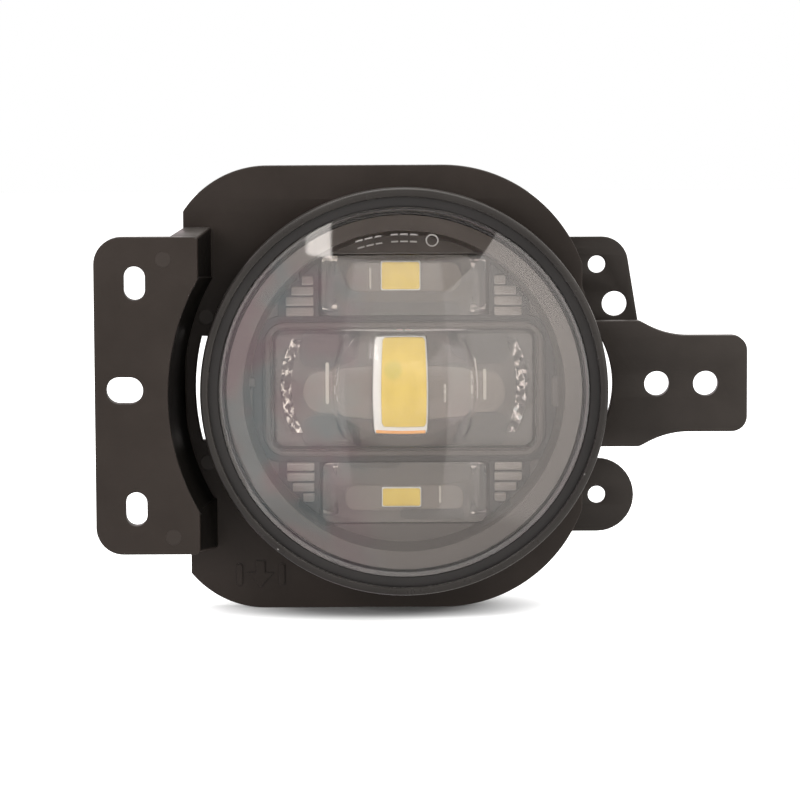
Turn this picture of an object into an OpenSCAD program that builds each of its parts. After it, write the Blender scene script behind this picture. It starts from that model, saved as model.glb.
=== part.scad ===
// Round LED fog light in its moulded mounting bracket.
// +Z is up and the lamp shines along -Y. The origin is on the lamp's axis,
// in the plane of the bracket plate's front face. All sizes are millimetres.

/* [Bezel and lens] */
// Outside diameter of the bezel ring
ring_d = 102.2; // [86:0.1:123]
// Wall of the bezel ring
ring_wall = 2; // [1.6:0.1:2.4]
// How far the ring's front edge stands ahead of the bracket plate
ring_ahead = 17; // [15:0.5:20]
// Gap between the back of the ring and the bracket plate
ring_gap = 3.6; // [3.4:0.1:4.4]
// Open groove between the ring and the lens
lens_groove = 0.7; // [0.4:0.1:1]
// Thickness of the lens
lens_t = 3; // [2.5:0.1:3.6]
// Height of the lens dome above its rim
lens_dome = 12.7; // [10:0.1:15]

/* [Lamp body] */
// Step in from the ring's outside to the body's outside
body_step = 7.1; // [6.8:0.1:8]
// Wall of the cast body
body_wall = 2.5; // [2:0.1:3]
// Thickness of the body's floor, which spreads the heat
floor_t = 8; // [6:0.5:8.5]
// Number of cooling fins
fin_count = 9; // [7:2:11]
// Thickness of one fin
fin_t = 2; // [1.5:0.1:2.5]
// Length of the fins behind the floor
fin_len = 21; // [17:0.5:21]
// Outside radius of the driver chamber
chamber_r = 24; // [22.5:0.5:26]
// Length of the driver chamber behind the floor
chamber_len = 25; // [23:0.5:30]

/* [Optics] */
// Width of the centre optic
centre_w = 64; // [54:1:66]
// Height of the centre optic
centre_h = 29; // [25:0.5:30]
// Width of the upper and lower optics
side_w = 41; // [34:0.5:49]
// Height of the upper and lower optics
side_h = 15; // [13:0.5:16]
// Distance of the side optics' centres from the lamp's axis
side_rise = 26; // [25:0.5:26.5]

/* [Bracket plate] */
// Thickness of the bracket plate
plate_t = 3.5; // [2.5:0.1:4]
// How far the plate reaches above and below the ring
plate_margin = 5.3; // [4.5:0.1:8]
// Running gap between the lamp body and the plate's hole
hole_gap = 3.5; // [3:0.1:4]
// Width of the band between the hole and the side slot
band_w = 3; // [2.5:0.1:3.5]
// Width of the side slot
side_slot_w = 2.5; // [2:0.1:3]
// Height of the side slot
side_slot_h = 27; // [22:0.5:30]

/* [Mounting pad] */
// Width of the pad
pad_w = 25.8; // [25:0.1:31]
// Height of the pad
pad_h = 79.1; // [75:0.1:95]
// Thickness of the pad
pad_t = 4; // [3:0.1:5]
// How far the pad's front face stands ahead of the plate
pad_ahead = 23; // [20:0.5:27.5]
// Draft of the pad's wall over its depth
wall_draft = 2.7; // [1:0.1:3.2]
// Thickness of the pad's curved wall
wall_t = 3; // [2.4:0.1:3.6]
// Distance between the two upright slots
pad_slot_pitch = 56.2; // [50:0.1:60]
// Width of the upright slots
pad_slot_w = 5.4; // [4.5:0.1:6.5]
// Length of the upright slots
pad_slot_l = 8.4; // [7.5:0.1:10]
// Width of the level slot
mid_slot_w = 6.6; // [5.5:0.1:8]
// Length of the level slot
mid_slot_l = 9.2; // [8.5:0.1:11]

/* [Side arm] */
// How far the arm's front face lies behind the plate's front face
arm_back = 7; // [6:0.1:8]
// Thickness of the arm
arm_t = 4; // [3:0.1:5]
// Reach of the arm past the ring
arm_reach = 36.8; // [34:0.1:45]
// Height of the arm beside the ring
arm_root_h = 32.3; // [30:0.1:34]
// Height of the arm's tip
arm_tip_h = 24.7; // [20:0.1:27]
// Diameter of the arm's two holes
arm_hole_d = 6.4; // [5.3:0.1:7]
// Distance between the arm's two holes
arm_hole_pitch = 12.5; // [10.5:0.1:15]

/* [Ear plate] */
// How far the ear plate's front face lies behind the plate's front face
ear_back = 19.5; // [18.5:0.5:24]
// Thickness of the ear plate
ear_t = 2; // [1.5:0.1:3]
// Distance between the two small ear holes
ear_hole_pitch = 60; // [58:0.1:66]
// Diameter of the small ear holes
ear_hole_d = 4.5; // [3.5:0.1:5.3]
// Diameter of the large ear hole
ear_large_d = 6.4; // [5:0.1:7]

/* [Aiming] */
// How far the tilt axis lies behind the plate's front face
tilt_back = 13.5; // [13:0.1:13.7]
// Diameter of the pivot pins
pivot_d = 5; // [4:0.1:5.2]
// Drop of the adjuster rod below the lamp body
rod_drop = 4; // [3.6:0.1:4.6]
// Diameter of the adjuster rod
rod_d = 5; // [4:0.1:5.6]
// Diameter of the rod's ball
ball_d = 6; // [5.4:0.1:6.2]
// Diameter of the adjuster knob
knob_d = 15; // [12:0.1:16]

/* [Fits] */
// Radial clearance of the pins and shafts that turn or slide
run_gap = 0.06; // [0.03:0.01:0.09]
// Radial clearance of the ball in its socket
ball_gap = 0.14; // [0.12:0.01:0.2]
// Radial clearance of a screw in a plain hole
screw_gap = 0.25; // [0.15:0.05:0.5]

/* [Hidden] */
$fn = 96;
arc_steps = 10;
cut = 1;          // how far a cutting shape runs past the face that it cuts

// Colours
moulded_black = [0.2, 0.19, 0.18];
sheet_black = [0.24, 0.23, 0.22];
cast_grey = [0.32, 0.32, 0.33];
trim_grey = [0.55, 0.54, 0.53];
clear = [0.85, 0.88, 0.9, 0.45];
phosphor = [0.95, 0.82, 0.3];
board_white = [0.9, 0.9, 0.88];
board_green = [0.12, 0.35, 0.2];
rubber_black = [0.1, 0.1, 0.1];
steel = [0.7, 0.7, 0.72];
nylon = [0.88, 0.86, 0.8];
brass = [0.8, 0.65, 0.3];

// Radii about the lamp's axis, from the ring inwards and outwards
ring_r = ring_d / 2;
seat_r = ring_r - ring_wall;
lens_r = seat_r - lens_groove;
dome_r = lens_r - 2.15;
body_r = ring_r - body_step;
cavity_r = body_r - body_wall;
rear_r = body_r - 7;
hole_r = body_r + hole_gap;
band_r = hole_r + band_w;
slot_r = band_r + side_slot_w;
wall_back_r = slot_r + 2.9;
wall_front_r = wall_back_r + wall_draft;
plate_clear_r = hole_r - 0.7;

// Stations along Y, from front to back
ring_front = -ring_ahead;
lens_rim = ring_front + 1.5;
lens_back = lens_rim + lens_t;
seal_t = 1;
flange_front = lens_back + seal_t;
flange_back = flange_front + 5.5;
floor_back = tilt_back + 5;
floor_front = floor_back - floor_t;
pad_t_heat = 0.5;
board_t = 1.6;
board_back = floor_front - pad_t_heat;
board_front = board_back - board_t;
trim_face = board_front - 11.9;
chamber_back = floor_back + chamber_len;
cover_t = 3;
cover_front = chamber_back + 0.8;
cover_back = cover_front + cover_t;

// Outline of the plate
plate_half = ring_r + plate_margin;
plate_left = -ring_r - 4.7;
plate_left_low = -ring_r - 3.4;
plate_right = ring_r - 5.8;

// Pad
pad_right = 0.15 - ring_r;
pad_left = pad_right - pad_w;
pad_front = -pad_ahead;
pad_back = pad_front + pad_t;
pad_slot_x = pad_left + 10.05;
mid_slot_x = pad_left + 7.4;
mid_slot_z = 1.5;
block_z = pad_h / 2 - 20;

// Arm and ears
arm_front = arm_back;
arm_rear = arm_front + arm_t;
arm_tip = ring_r + arm_reach;
arm_hole_x = arm_tip - 10.65;
relief_r = 24.5;
relief_x = ring_r + 2.3 - relief_r;
ear_front = ear_back;
ear_rear = ear_front + ear_t;
ear_x = ring_r - 1.1;
ear_z = ear_hole_pitch / 2;
ear_large_x = ear_x + 4.55;
ear_large_z = ear_z - 10.2;
ear_low_r = 9.55;
ear_top = ear_z + 7.15;

// The two screws that clamp the arm, the spacers and the ear plate to the plate
stack_angle = 45.4;
stack_r = hole_r + 5.2;
stack_x = stack_r * cos(stack_angle);
stack_z = stack_r * sin(stack_angle);
stack_screw_r = 2.5;
stack_boss_r = 4.5;

// Pivots on the tilt axis
pivot_r = pivot_d / 2;
bush_r = pivot_r + 1.3;
boss_end = hole_r - 0.9;
lug_in = hole_r - 0.3;
lug_out = band_r + 0.3;
lug_h = 20;

// Adjuster
rod_r = rod_d / 2;
ball_r = ball_d / 2;
rod_z = -body_r - rod_drop;
socket_r = ball_r + 1.5;
socket_front = tilt_back - ball_r - 1.2;
socket_back = tilt_back + 4.5;
socket_wall = 1.4;
wall_y = tilt_back + 19;
wall_y_t = 3;
knob_neck_r = rod_r + 1.9;
knob_front = wall_y + wall_y_t + 0.3;
knob_back = knob_front + 9.7;
clip_y = wall_y - 1.3;

// Board screws, cover screws and the wire hole
board_hole_r = cavity_r - 3.9;
board_hole_angle = 30.5;
board_screw_x = board_hole_r * cos(board_hole_angle);
board_screw_z = board_hole_r * sin(board_hole_angle);
board_screw_r = 1.5;
cover_screw_r = 1.5;
cover_boss_r = 3.5;
cover_ring_r = chamber_r + 3;
wire_z = (centre_h / 2 + side_rise - side_h / 2) / 2;
pin_x_gap = 4.2;
inlet_z = -8;

// Unit vector along v
function unit(v) = v / norm(v);

// Direction of v in degrees
function heading(v) = atan2(v[1], v[0]);

// Points that round corner q, given as [x, z, radius], between its neighbours p and s
function corner(p, q, s) =
    let (at = [q[0], q[1]])
    let (u = unit([p[0], p[1]] - at))
    let (v = unit([s[0], s[1]] - at))
    let (half = acos(u * v) / 2)
    let (centre = at + unit(u + v) * q[2] / sin(half))
    let (from = heading(at + u * q[2] / tan(half) - centre))
    let (to = heading(at + v * q[2] / tan(half) - centre))
    let (turn = (to - from + 540) % 360 - 180)
    [for (i = [0 : arc_steps]) centre + q[2] * [cos(from + turn * i / arc_steps),
                                                sin(from + turn * i / arc_steps)]];

// Outline through a list of corners, each rounded to its own radius
function rounded(pts) =
    let (n = len(pts))
    [for (i = [0 : n - 1])
        each pts[i][2] == 0 ? [[pts[i][0], pts[i][1]]]
                            : corner(pts[(i + n - 1) % n], pts[i], pts[(i + 1) % n])];

// Corners of an upright rectangle with one radius, centred at [x, z]
function box_corners(w, h, r, x = 0, z = 0) = [
    [x - w / 2, z - h / 2, r],
    [x + w / 2, z - h / 2, r],
    [x + w / 2, z + h / 2, r],
    [x - w / 2, z + h / 2, r]
];

// A flat outline in the XZ plane, made solid from y0 back to y1
module slab(y0, y1) {
    translate([0, y1, 0])
        rotate([90, 0, 0])
            linear_extrude(y1 - y0)
                children();
}

// A cylinder along Y
module shaft_y(r, y0, y1, x = 0, z = 0) {
    translate([x, y1, z])
        rotate([90, 0, 0])
            cylinder(h = y1 - y0, r = r);
}

// A cone along Y, radius r0 at y0 and r1 at y1
module cone_y(r0, r1, y0, y1) {
    translate([0, y1, 0])
        rotate([90, 0, 0])
            cylinder(h = y1 - y0, r1 = r1, r2 = r0);
}

// A cylinder along X on the tilt axis
module shaft_x(r, x0, x1) {
    translate([x0, tilt_back, 0])
        rotate([0, 90, 0])
            cylinder(h = x1 - x0, r = r);
}

// A tube along Y
module tube_y(r_out, r_in, y0, y1, x = 0, z = 0) {
    difference() {
        shaft_y(r_out, y0, y1, x, z);
        shaft_y(r_in, y0 - cut, y1 + cut, x, z);
    }
}

// A round-ended slot through Y, w across and l long, upright or level
module slot_y(w, l, y0, y1, x, z, upright) {
    run = (l - w) / 2;
    dx = upright ? 0 : run;
    dz = upright ? run : 0;
    for (side = [-1, 1])
        shaft_y(w / 2, y0, y1, x + side * dx, z + side * dz);
    slab(y0, y1)
        translate([x, z])
            square([upright ? w : 2 * run, upright ? 2 * run : w], center = true);
}

// The same thing above and below the lamp's axis
module above_and_below() {
    children();
    mirror([0, 0, 1])
        children();
}

// The same thing left and right of the lamp's axis
module left_and_right() {
    children();
    mirror([1, 0, 0])
        children();
}

// ---- Bracket ----

// Outline of the plate, drawn in by inset on every side
module plate_outline(inset) {
    intersection() {
        polygon(rounded([
            [-ring_r - 8.9 + inset, inset - plate_half, 24.5 - inset],
            [ring_r - 3.7 - inset, inset - plate_half, 37.5 - inset],
            [ring_r - 3.7 - inset, plate_half - inset, 37.5 - inset],
            [-ring_r - 8.9 + inset, plate_half - inset, 25.5 - inset]
        ]));
        polygon([
            [plate_left_low + inset, -plate_half],
            [plate_right - inset, -plate_half],
            [plate_right - inset, plate_half],
            [plate_left + inset, plate_half],
            [plate_left + inset, 0],
            [plate_left_low + inset, -pad_h / 2]
        ]);
    }
}

// Raised arrow that shows which way up the bracket goes
module arrow_mark() {
    translate([-ring_r * 0.72, -plate_half + 8.6])
        polygon([[-2.6, 0.4], [0, -2.6], [2.6, 0.4], [0.9, 0.4], [0.9, 2.8], [-0.9, 2.8], [-0.9, 0.4]]);
}

// Tapered block that carries the pad's end out from the plate
module pad_block() {
    hull() {
        slab(-0.01, plate_t)
            translate([plate_left, block_z])
                square([6.8, pad_h / 2 + 1.5 - block_z]);
        slab(pad_back - 0.01, pad_back)
            translate([pad_right - 8.7, block_z])
                square([8.7, pad_h / 2 - block_z]);
    }
}

// Lug that holds one pivot bush, standing off the plate's back
module pivot_lug() {
    shaft_x(bush_r + 1.9, lug_in, lug_out);
    intersection() {
        tube_y(band_r, hole_r, plate_t - 0.01, tilt_back + bush_r);
        slab(plate_t - 0.01, tilt_back + bush_r)
            translate([0, -lug_h / 2])
                square([ring_r, lug_h]);
    }
}

// Gussets and cross wall that hold the adjuster knob behind the plate
module adjuster_bracket() {
    for (side = [-1, 1])
        translate([side * 10.5 - 1.5, plate_t - 0.01, -plate_half + 0.4])
            cube([3, wall_y + wall_y_t - plate_t + 0.01, 8.5]);
    translate([-12, wall_y, -plate_half + 0.4])
        cube([24, wall_y_t, plate_half - 0.4 + rod_z + 7]);
}

module mounting_plate() color(moulded_black) {
    difference() {
        union() {
            slab(0, plate_t)
                union() {
                    plate_outline(0);
                    circle(r = band_r);
                }
            slab(plate_t - 0.01, plate_t + 2.5)
                difference() {
                    plate_outline(0);
                    plate_outline(1.8);
                    circle(r = ring_r + 1);
                }
            tube_y(band_r, hole_r - 0.01, plate_t - 0.01, plate_t + 1.5);
            slab(-0.4, 0.01)
                arrow_mark();
            slab(pad_front, pad_back)
                polygon(rounded([
                    [pad_left, -pad_h / 2, 6.8],
                    [pad_right, -pad_h / 2, 1.2],
                    [pad_right, pad_h / 2, 1.2],
                    [pad_left, pad_h / 2, 6.8]
                ]));
            above_and_below()
                pad_block();
            intersection() {
                cone_y(wall_front_r + wall_t, wall_back_r + wall_t, pad_front + 0.5, plate_t);
                translate([-2 * ring_r, pad_front, -pad_h / 2 + 8])
                    cube([1.5 * ring_r, 2 * pad_ahead, pad_h - 16]);
                translate([-2 * ring_r, pad_front + 0.5, -pad_h])
                    cube([1.5 * ring_r, pad_ahead - 0.5 + plate_t, 2 * pad_h]);
            }
            left_and_right()
                pivot_lug();
            above_and_below()
                shaft_y(stack_boss_r, plate_t - 0.01, arm_front, stack_x, stack_z);
            adjuster_bracket();
        }
        shaft_y(hole_r, -cut, plate_t + 1.6);
        cone_y(wall_front_r + wall_draft * cut / pad_ahead, wall_back_r,
               pad_front - cut, 0);
        intersection() {
            tube_y(slot_r, band_r, -cut, plate_t + cut);
            slot_y(side_slot_w * 6, side_slot_h, -cut, plate_t + cut, -slot_r, 0, true);
        }
        for (side = [-1, 1])
            slot_y(pad_slot_w, pad_slot_l, pad_front - cut, pad_back + cut,
                   pad_slot_x, side * pad_slot_pitch / 2, true);
        slot_y(mid_slot_w, mid_slot_l, pad_front - cut, pad_back + cut, mid_slot_x, mid_slot_z, false);
        above_and_below()
            slab(pad_back + 2, plate_t + cut)
                translate([plate_left + 2, pad_h / 2 - 8])
                    square([2.8, 7]);
        left_and_right()
            shaft_x(bush_r, lug_in - cut, lug_out + cut);
        above_and_below()
            shaft_y(stack_screw_r, 1.5, arm_front + cut, stack_x, stack_z);
        shaft_y(knob_neck_r + run_gap, wall_y - cut, wall_y + wall_y_t + cut, 0, rod_z);
    }
}

module side_arm() color(sheet_black) {
    half_root = arm_root_h / 2;
    half_tip = arm_tip_h / 2;
    upper = [
        [arm_tip, half_tip, 3.9],
        [ring_r + 16.4, half_tip, 22],
        [ring_r + 9.2, half_root, 2.5],
        [ring_r - 2.4, half_root, 0],
        [ring_r - 6.1, 27, 2],
        [stack_x + 4.3, stack_z + 1, 3],
        [stack_x - 1, stack_z + 5, 4],
        [stack_x - 5.5, stack_z + 2.5, 2]
    ];
    lower = [for (i = [len(upper) - 1 : -1 : 0]) [upper[i][0], -upper[i][1], upper[i][2]]];
    difference() {
        slab(arm_front, arm_rear)
            difference() {
                polygon(rounded(concat(upper, lower)));
                circle(r = plate_clear_r);
                intersection() {
                    translate([relief_x, 0])
                        circle(r = relief_r);
                    translate([0, -15])
                        square([2 * ring_r, 30]);
                }
            }
        for (x = [arm_hole_x - arm_hole_pitch, arm_hole_x])
            shaft_y(arm_hole_d / 2, arm_front - cut, arm_rear + cut, x, 0);
        above_and_below()
            shaft_y(stack_screw_r + screw_gap, arm_front - cut, arm_rear + cut, stack_x, stack_z);
    }
}

module ear_plate() color(sheet_black) {
    difference() {
        slab(ear_front, ear_rear)
            difference() {
                polygon(rounded([
                    [stack_x - 5, stack_z + 4.6, 4],
                    [stack_x + 2.6, stack_z + 4.6, 4],
                    [stack_x + 4.2, ear_top, 0],
                    [ear_x + 7.1, ear_top, 6.8],
                    [ear_x + 10.95, ear_z - 16.5, 1],
                    [ear_x + 0.5, ear_z - 19, 3],
                    [ear_x - 1.5, 0, 0],
                    [ear_x - 1.5, ear_low_r - ear_z, 0],
                    [ear_x + ear_low_r, ear_low_r - ear_z, ear_low_r - 0.05],
                    [ear_x + ear_low_r, -ear_low_r - ear_z, ear_low_r - 0.05],
                    [stack_x + 4.2, -ear_low_r - ear_z, 0],
                    [stack_x + 2.6, -stack_z - 4.6, 2],
                    [stack_x - 5, -stack_z - 4.6, 4]
                ]));
                circle(r = plate_clear_r);
            }
        above_and_below()
            shaft_y(ear_hole_d / 2, ear_front - cut, ear_rear + cut, ear_x, ear_z);
        shaft_y(ear_large_d / 2, ear_front - cut, ear_rear + cut, ear_large_x, ear_large_z);
        above_and_below()
            shaft_y(stack_screw_r + screw_gap, ear_front - cut, ear_rear + cut, stack_x, stack_z);
    }
}

module stack_spacers() color(steel) {
    above_and_below()
        tube_y(stack_boss_r, stack_screw_r + screw_gap, arm_rear, ear_front, stack_x, stack_z);
}

module stack_screws() color(steel) {
    above_and_below()
        difference() {
            union() {
                shaft_y(stack_screw_r, 2, ear_rear + 0.5, stack_x, stack_z);
                shaft_y(stack_screw_r * 1.8, ear_rear, ear_rear + 3.2, stack_x, stack_z);
            }
            translate([stack_x, ear_rear + 3.2 + cut, stack_z])
                rotate([90, 0, 0])
                    cylinder(h = 2 + cut, r = 2.3, $fn = 6);
        }
}

module pivot_bushes() color(nylon) {
    left_and_right()
        difference() {
            shaft_x(bush_r, lug_in, lug_out);
            shaft_x(pivot_r + run_gap, lug_in - cut, lug_out + cut);
        }
}

// ---- Lamp ----

module bezel_ring() color(moulded_black) {
    tube_y(ring_r, seat_r, ring_front, -ring_gap);
}

module lens() color(clear) {
    rise = lens_dome;
    sphere_r = (dome_r * dome_r + rise * rise) / (2 * rise);
    centre_y = lens_rim - 0.8 - rise + sphere_r;
    difference() {
        union() {
            shaft_y(lens_r, lens_rim, lens_back);
            intersection() {
                translate([0, centre_y, 0])
                    sphere(r = sphere_r, $fn = 180);
                shaft_y(dome_r, lens_rim - 2 * rise, lens_back);
            }
        }
        translate([0, centre_y, 0])
            sphere(r = sphere_r - lens_t, $fn = 180);
    }
}

module lens_seal() color(rubber_black) {
    tube_y(lens_r, lens_r - 2.6, lens_back, flange_front);
}

// Outline of one optic's chamber in the trim
module chamber_outline(w, h, z, grow) {
    polygon(rounded(box_corners(w + 2 * grow, h + 2 * grow, 2.5 + grow, 0, z)));
}

// All three chamber outlines together
module chambers(grow) {
    chamber_outline(centre_w + 2, centre_h + 1, 0, grow);
    for (side = [-1, 1])
        chamber_outline(side_w + 12, side_h + 1, side * side_rise, grow);
}

module inner_trim() color(trim_grey) {
    flange_t = 1.5;
    lip_y = flange_front + 0.2;
    difference() {
        union() {
            shaft_y(body_r + 0.3, lip_y, lip_y + flange_t);
            cone_y(cavity_r - 0.1, cavity_r - 1, lip_y + flange_t - 0.01, trim_face + 2);
            intersection() {
                slab(trim_face, board_front - 3)
                    chambers(1.2);
                shaft_y(cavity_r - 1, trim_face, board_front - 3);
            }
        }
        cone_y(cavity_r - 1.4, cavity_r - 3, lip_y - cut, trim_face);
        slab(lip_y - cut, board_front)
            intersection() {
                chambers(0);
                circle(r = cavity_r - 2.2);
            }
    }
}

// A clear block that is crowned towards the front, hollowed at the back for its LED
module optic(w, h, z, front, bulge, led_w, led_h) {
    crown_r = (h * h / 4 + bulge * bulge) / (2 * bulge);
    difference() {
        intersection() {
            slab(front, board_front)
                polygon(rounded(box_corners(w, h, 2, 0, z)));
            translate([-w, front + crown_r, z])
                rotate([0, 90, 0])
                    cylinder(h = 2 * w, r = crown_r + 0.001);
            translate([-w, front, z - h])
                cube([2 * w, board_front - front, 2 * h]);
        }
        slab(board_front - 2, board_front + cut)
            translate([0, z])
                square([led_w + 1, led_h + 1], center = true);
    }
}

// Crowned front shape with a square back, so the crown does not pinch the block's foot
module crowned_optic(w, h, z, front, bulge, led_w, led_h) {
    optic(w, h, z, front, bulge, led_w, led_h);
    difference() {
        slab(front + bulge, board_front)
            polygon(rounded(box_corners(w, h, 2, 0, z)));
        slab(board_front - 2, board_front + cut)
            translate([0, z])
                square([led_w + 1, led_h + 1], center = true);
    }
}

centre_led_size = [11, 18];
side_led_size = [10, 8];

module centre_optic() color(clear) {
    crowned_optic(centre_w, centre_h, 0, trim_face - 7, 6,
                  centre_led_size[0], centre_led_size[1]);
}

module upper_optic() color(clear) {
    crowned_optic(side_w, side_h, side_rise, trim_face - 2, 4, side_led_size[0], side_led_size[1]);
}

module lower_optic() color(clear) {
    crowned_optic(side_w, side_h, -side_rise, trim_face - 2, 4, side_led_size[0], side_led_size[1]);
}

// One LED: a white ceramic base with its phosphor patch
module led(size, z) {
    slab(board_front - 0.8, board_front)
        translate([0, z])
            square(size, center = true);
    slab(board_front - 1.2, board_front - 0.79)
        translate([0, z])
            square(size - [1.6, 1.6], center = true);
}

module centre_led() color(phosphor) {
    led(centre_led_size, 0);
}

module upper_led() color(phosphor) {
    led(side_led_size, side_rise);
}

module lower_led() color(phosphor) {
    led(side_led_size, -side_rise);
}

// Board screw positions
module at_board_screws() {
    for (side = [-1, 1])
        for (up = [-1, 1])
            translate([side * board_screw_x, 0, up * board_screw_z])
                children();
}

module led_board() color(board_white) {
    difference() {
        shaft_y(cavity_r - 0.9, board_front, board_back);
        at_board_screws()
            shaft_y(board_screw_r + screw_gap, board_front - cut, board_back + cut);
        shaft_y(3, board_front - cut, board_back + cut, 0, wire_z);
    }
}

module board_screws() color(steel) {
    at_board_screws() {
        shaft_y(board_screw_r, board_front - 0.5, floor_front + 4);
        shaft_y(2.75, board_front - 2, board_front);
    }
}

module thermal_pad() color([0.6, 0.65, 0.72]) {
    difference() {
        shaft_y(board_hole_r - 3, board_back, floor_front);
        shaft_y(3, board_back - cut, floor_front + cut, 0, wire_z);
    }
}

module feed_wires() color([0.7, 0.12, 0.1]) {
    for (side = [-1, 1])
        shaft_y(0.8, board_front, floor_back + 13, side * 1.1, wire_z);
}

// Screw positions round the driver chamber
module at_cover_screws() {
    for (angle = [45 : 90 : 315])
        translate([cover_ring_r * cos(angle), 0, cover_ring_r * sin(angle)])
            children();
}

// Upright cooling fins behind the floor, inside the rear radius
module fins() {
    pitch = 2 * (rear_r - fin_t) / (fin_count - 1);
    intersection() {
        slab(floor_back - 0.01, floor_back + fin_len)
            circle(r = rear_r);
        for (i = [0 : fin_count - 1])
            translate([-rear_r + fin_t / 2 + i * pitch, floor_back - 0.01, -rear_r])
                cube([fin_t, fin_len + 0.01, 2 * rear_r]);
    }
}

module lamp_housing() color(cast_grey) {
    post_r = 2.2;
    difference() {
        union() {
            shaft_y(seat_r, flange_front, flange_back);
            shaft_y(body_r, flange_back - 0.01, floor_back);
            fins();
            shaft_y(chamber_r, floor_back - 0.01, chamber_back);
            at_cover_screws()
                shaft_y(cover_boss_r, floor_back - 0.01, chamber_back);
            left_and_right()
                shaft_x(pivot_r + 3, cavity_r + 0.5, boss_end);
            translate([-socket_r - 1.5, socket_front - socket_wall, rod_z - socket_r - 0.5])
                cube([2 * socket_r + 3, socket_back - socket_front + socket_wall, socket_r + rod_drop + 7.5]);
        }
        shaft_y(body_r + 0.5, flange_front - cut, flange_front + 3);
        shaft_y(cavity_r, flange_front - cut, floor_front);
        difference() {
            shaft_y(chamber_r - 3, floor_back, chamber_back + cut);
            for (angle = [0 : 120 : 240])
                shaft_y(post_r, floor_back - cut, floor_back + 13,
                        (chamber_r - 8) * sin(angle), -(chamber_r - 8) * cos(angle));
        }
        left_and_right()
            shaft_x(pivot_r, cavity_r + 1, boss_end + cut);
        shaft_y(socket_r, socket_front, socket_back + cut, 0, rod_z);
        at_board_screws()
            shaft_y(board_screw_r, floor_front - cut, floor_front + 4.5);
        at_cover_screws()
            shaft_y(cover_screw_r, chamber_back - 9, chamber_back + cut);
        shaft_y(3, floor_front - cut, floor_back + cut, 0, wire_z);
    }
}

module driver_board() color(board_green) {
    front = floor_back + 13;
    back = front + board_t;
    shaft_y(chamber_r - 5, front, back);
    shaft_y(4.5, back - 0.01, back + 5, 8, 5);
    shaft_y(3, back - 0.01, back + 6, -8, 6);
    shaft_y(3, back - 0.01, back + 6, -9.5, -1.5);
    translate([-3, back - 0.01, 5])
        cube([6, 1.6, 6]);
}

module cover_seal() color(rubber_black) {
    tube_y(chamber_r - 0.6, chamber_r - 2.4, chamber_back, cover_front);
}

module rear_cover() color(moulded_black) {
    difference() {
        union() {
            shaft_y(chamber_r + 0.5, cover_front, cover_back);
            at_cover_screws()
                shaft_y(cover_boss_r, cover_front, cover_back);
            tube_y(chamber_r - 3.3, chamber_r - 5.3, chamber_back - 2, cover_front + 0.01);
        }
        at_cover_screws()
            shaft_y(cover_screw_r + screw_gap, cover_front - cut, cover_back + cut);
        for (side = [-1, 1])
            translate([side * pin_x_gap - 1.5, cover_front - cut, inlet_z - 0.5])
                cube([3, cover_t + 2 * cut, 1]);
        shaft_y(2, cover_front - cut, cover_back + cut, 0, 11);
    }
}

module cover_screws() color(steel) {
    at_cover_screws() {
        shaft_y(cover_screw_r, chamber_back - 8, cover_back + 0.5);
        shaft_y(2.75, cover_back, cover_back + 2.2);
    }
}

module breather_plug() color(rubber_black) {
    shaft_y(2, cover_front + 0.5, cover_back + 0.01, 0, 11);
    shaft_y(4.5, cover_back, cover_back + 3, 0, 11);
}

module connector_inlet() color(moulded_black) {
    foot_t = 2;
    mouth = cover_back + foot_t + 13;
    difference() {
        union() {
            slab(cover_back, cover_back + foot_t)
                polygon(rounded(box_corners(26, 16, 3, 0, inlet_z)));
            slab(cover_back + foot_t - 0.01, mouth)
                polygon(rounded(box_corners(20, 13, 3, 0, inlet_z)));
            translate([-3, cover_back + foot_t, inlet_z + 6.4])
                cube([6, 8, 1.6]);
        }
        slab(cover_back + foot_t, mouth + cut)
            polygon(rounded(box_corners(16.4, 9.4, 1.5, 0, inlet_z)));
        for (side = [-1, 1])
            translate([side * pin_x_gap - 1.4, cover_back - cut, inlet_z - 0.4])
                cube([2.8, foot_t + 2 * cut, 0.8]);
    }
}

module connector_pins() color(brass) {
    for (side = [-1, 1])
        translate([side * pin_x_gap - 1.4, floor_back + 13 + board_t, inlet_z - 0.4])
            cube([2.8, cover_back + 10.5 - floor_back - 13 - board_t, 0.8]);
}

module pivot_pins() color(steel) {
    left_and_right()
        shaft_x(pivot_r, cavity_r + 1, lug_out - 0.2);
}

module ball_socket() color(nylon) {
    difference() {
        shaft_y(socket_r, socket_front, socket_back, 0, rod_z);
        translate([0, tilt_back, rod_z])
            rotate([90, 0, 0])
                sphere(r = ball_r + ball_gap);
        shaft_y(ball_r - 0.35, tilt_back, socket_back + cut, 0, rod_z);
    }
}

// ---- Adjuster ----

module adjuster_rod() color(steel) {
    translate([0, tilt_back, rod_z])
        sphere(r = ball_r);
    shaft_y(rod_r * 0.7, tilt_back, tilt_back + 12, 0, rod_z);
    shaft_y(rod_r, tilt_back + 9, knob_back + 5, 0, rod_z);
}

module adjuster_knob() color(moulded_black) {
    flutes = 18;
    difference() {
        union() {
            shaft_y(knob_neck_r, clip_y - 1, knob_front + 0.01, 0, rod_z);
            shaft_y(knob_d / 2, knob_front, knob_back, 0, rod_z);
        }
        shaft_y(rod_r + run_gap, clip_y - 1 - cut, knob_back + cut, 0, rod_z);
        tube_y(knob_neck_r + cut, knob_neck_r - 0.8, clip_y, clip_y + 1, 0, rod_z);
        for (i = [0 : flutes - 1])
            shaft_y(0.8, knob_front + 1.5, knob_back + cut,
                    knob_d / 2 * cos(i * 360 / flutes), rod_z + knob_d / 2 * sin(i * 360 / flutes));
    }
}

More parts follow.
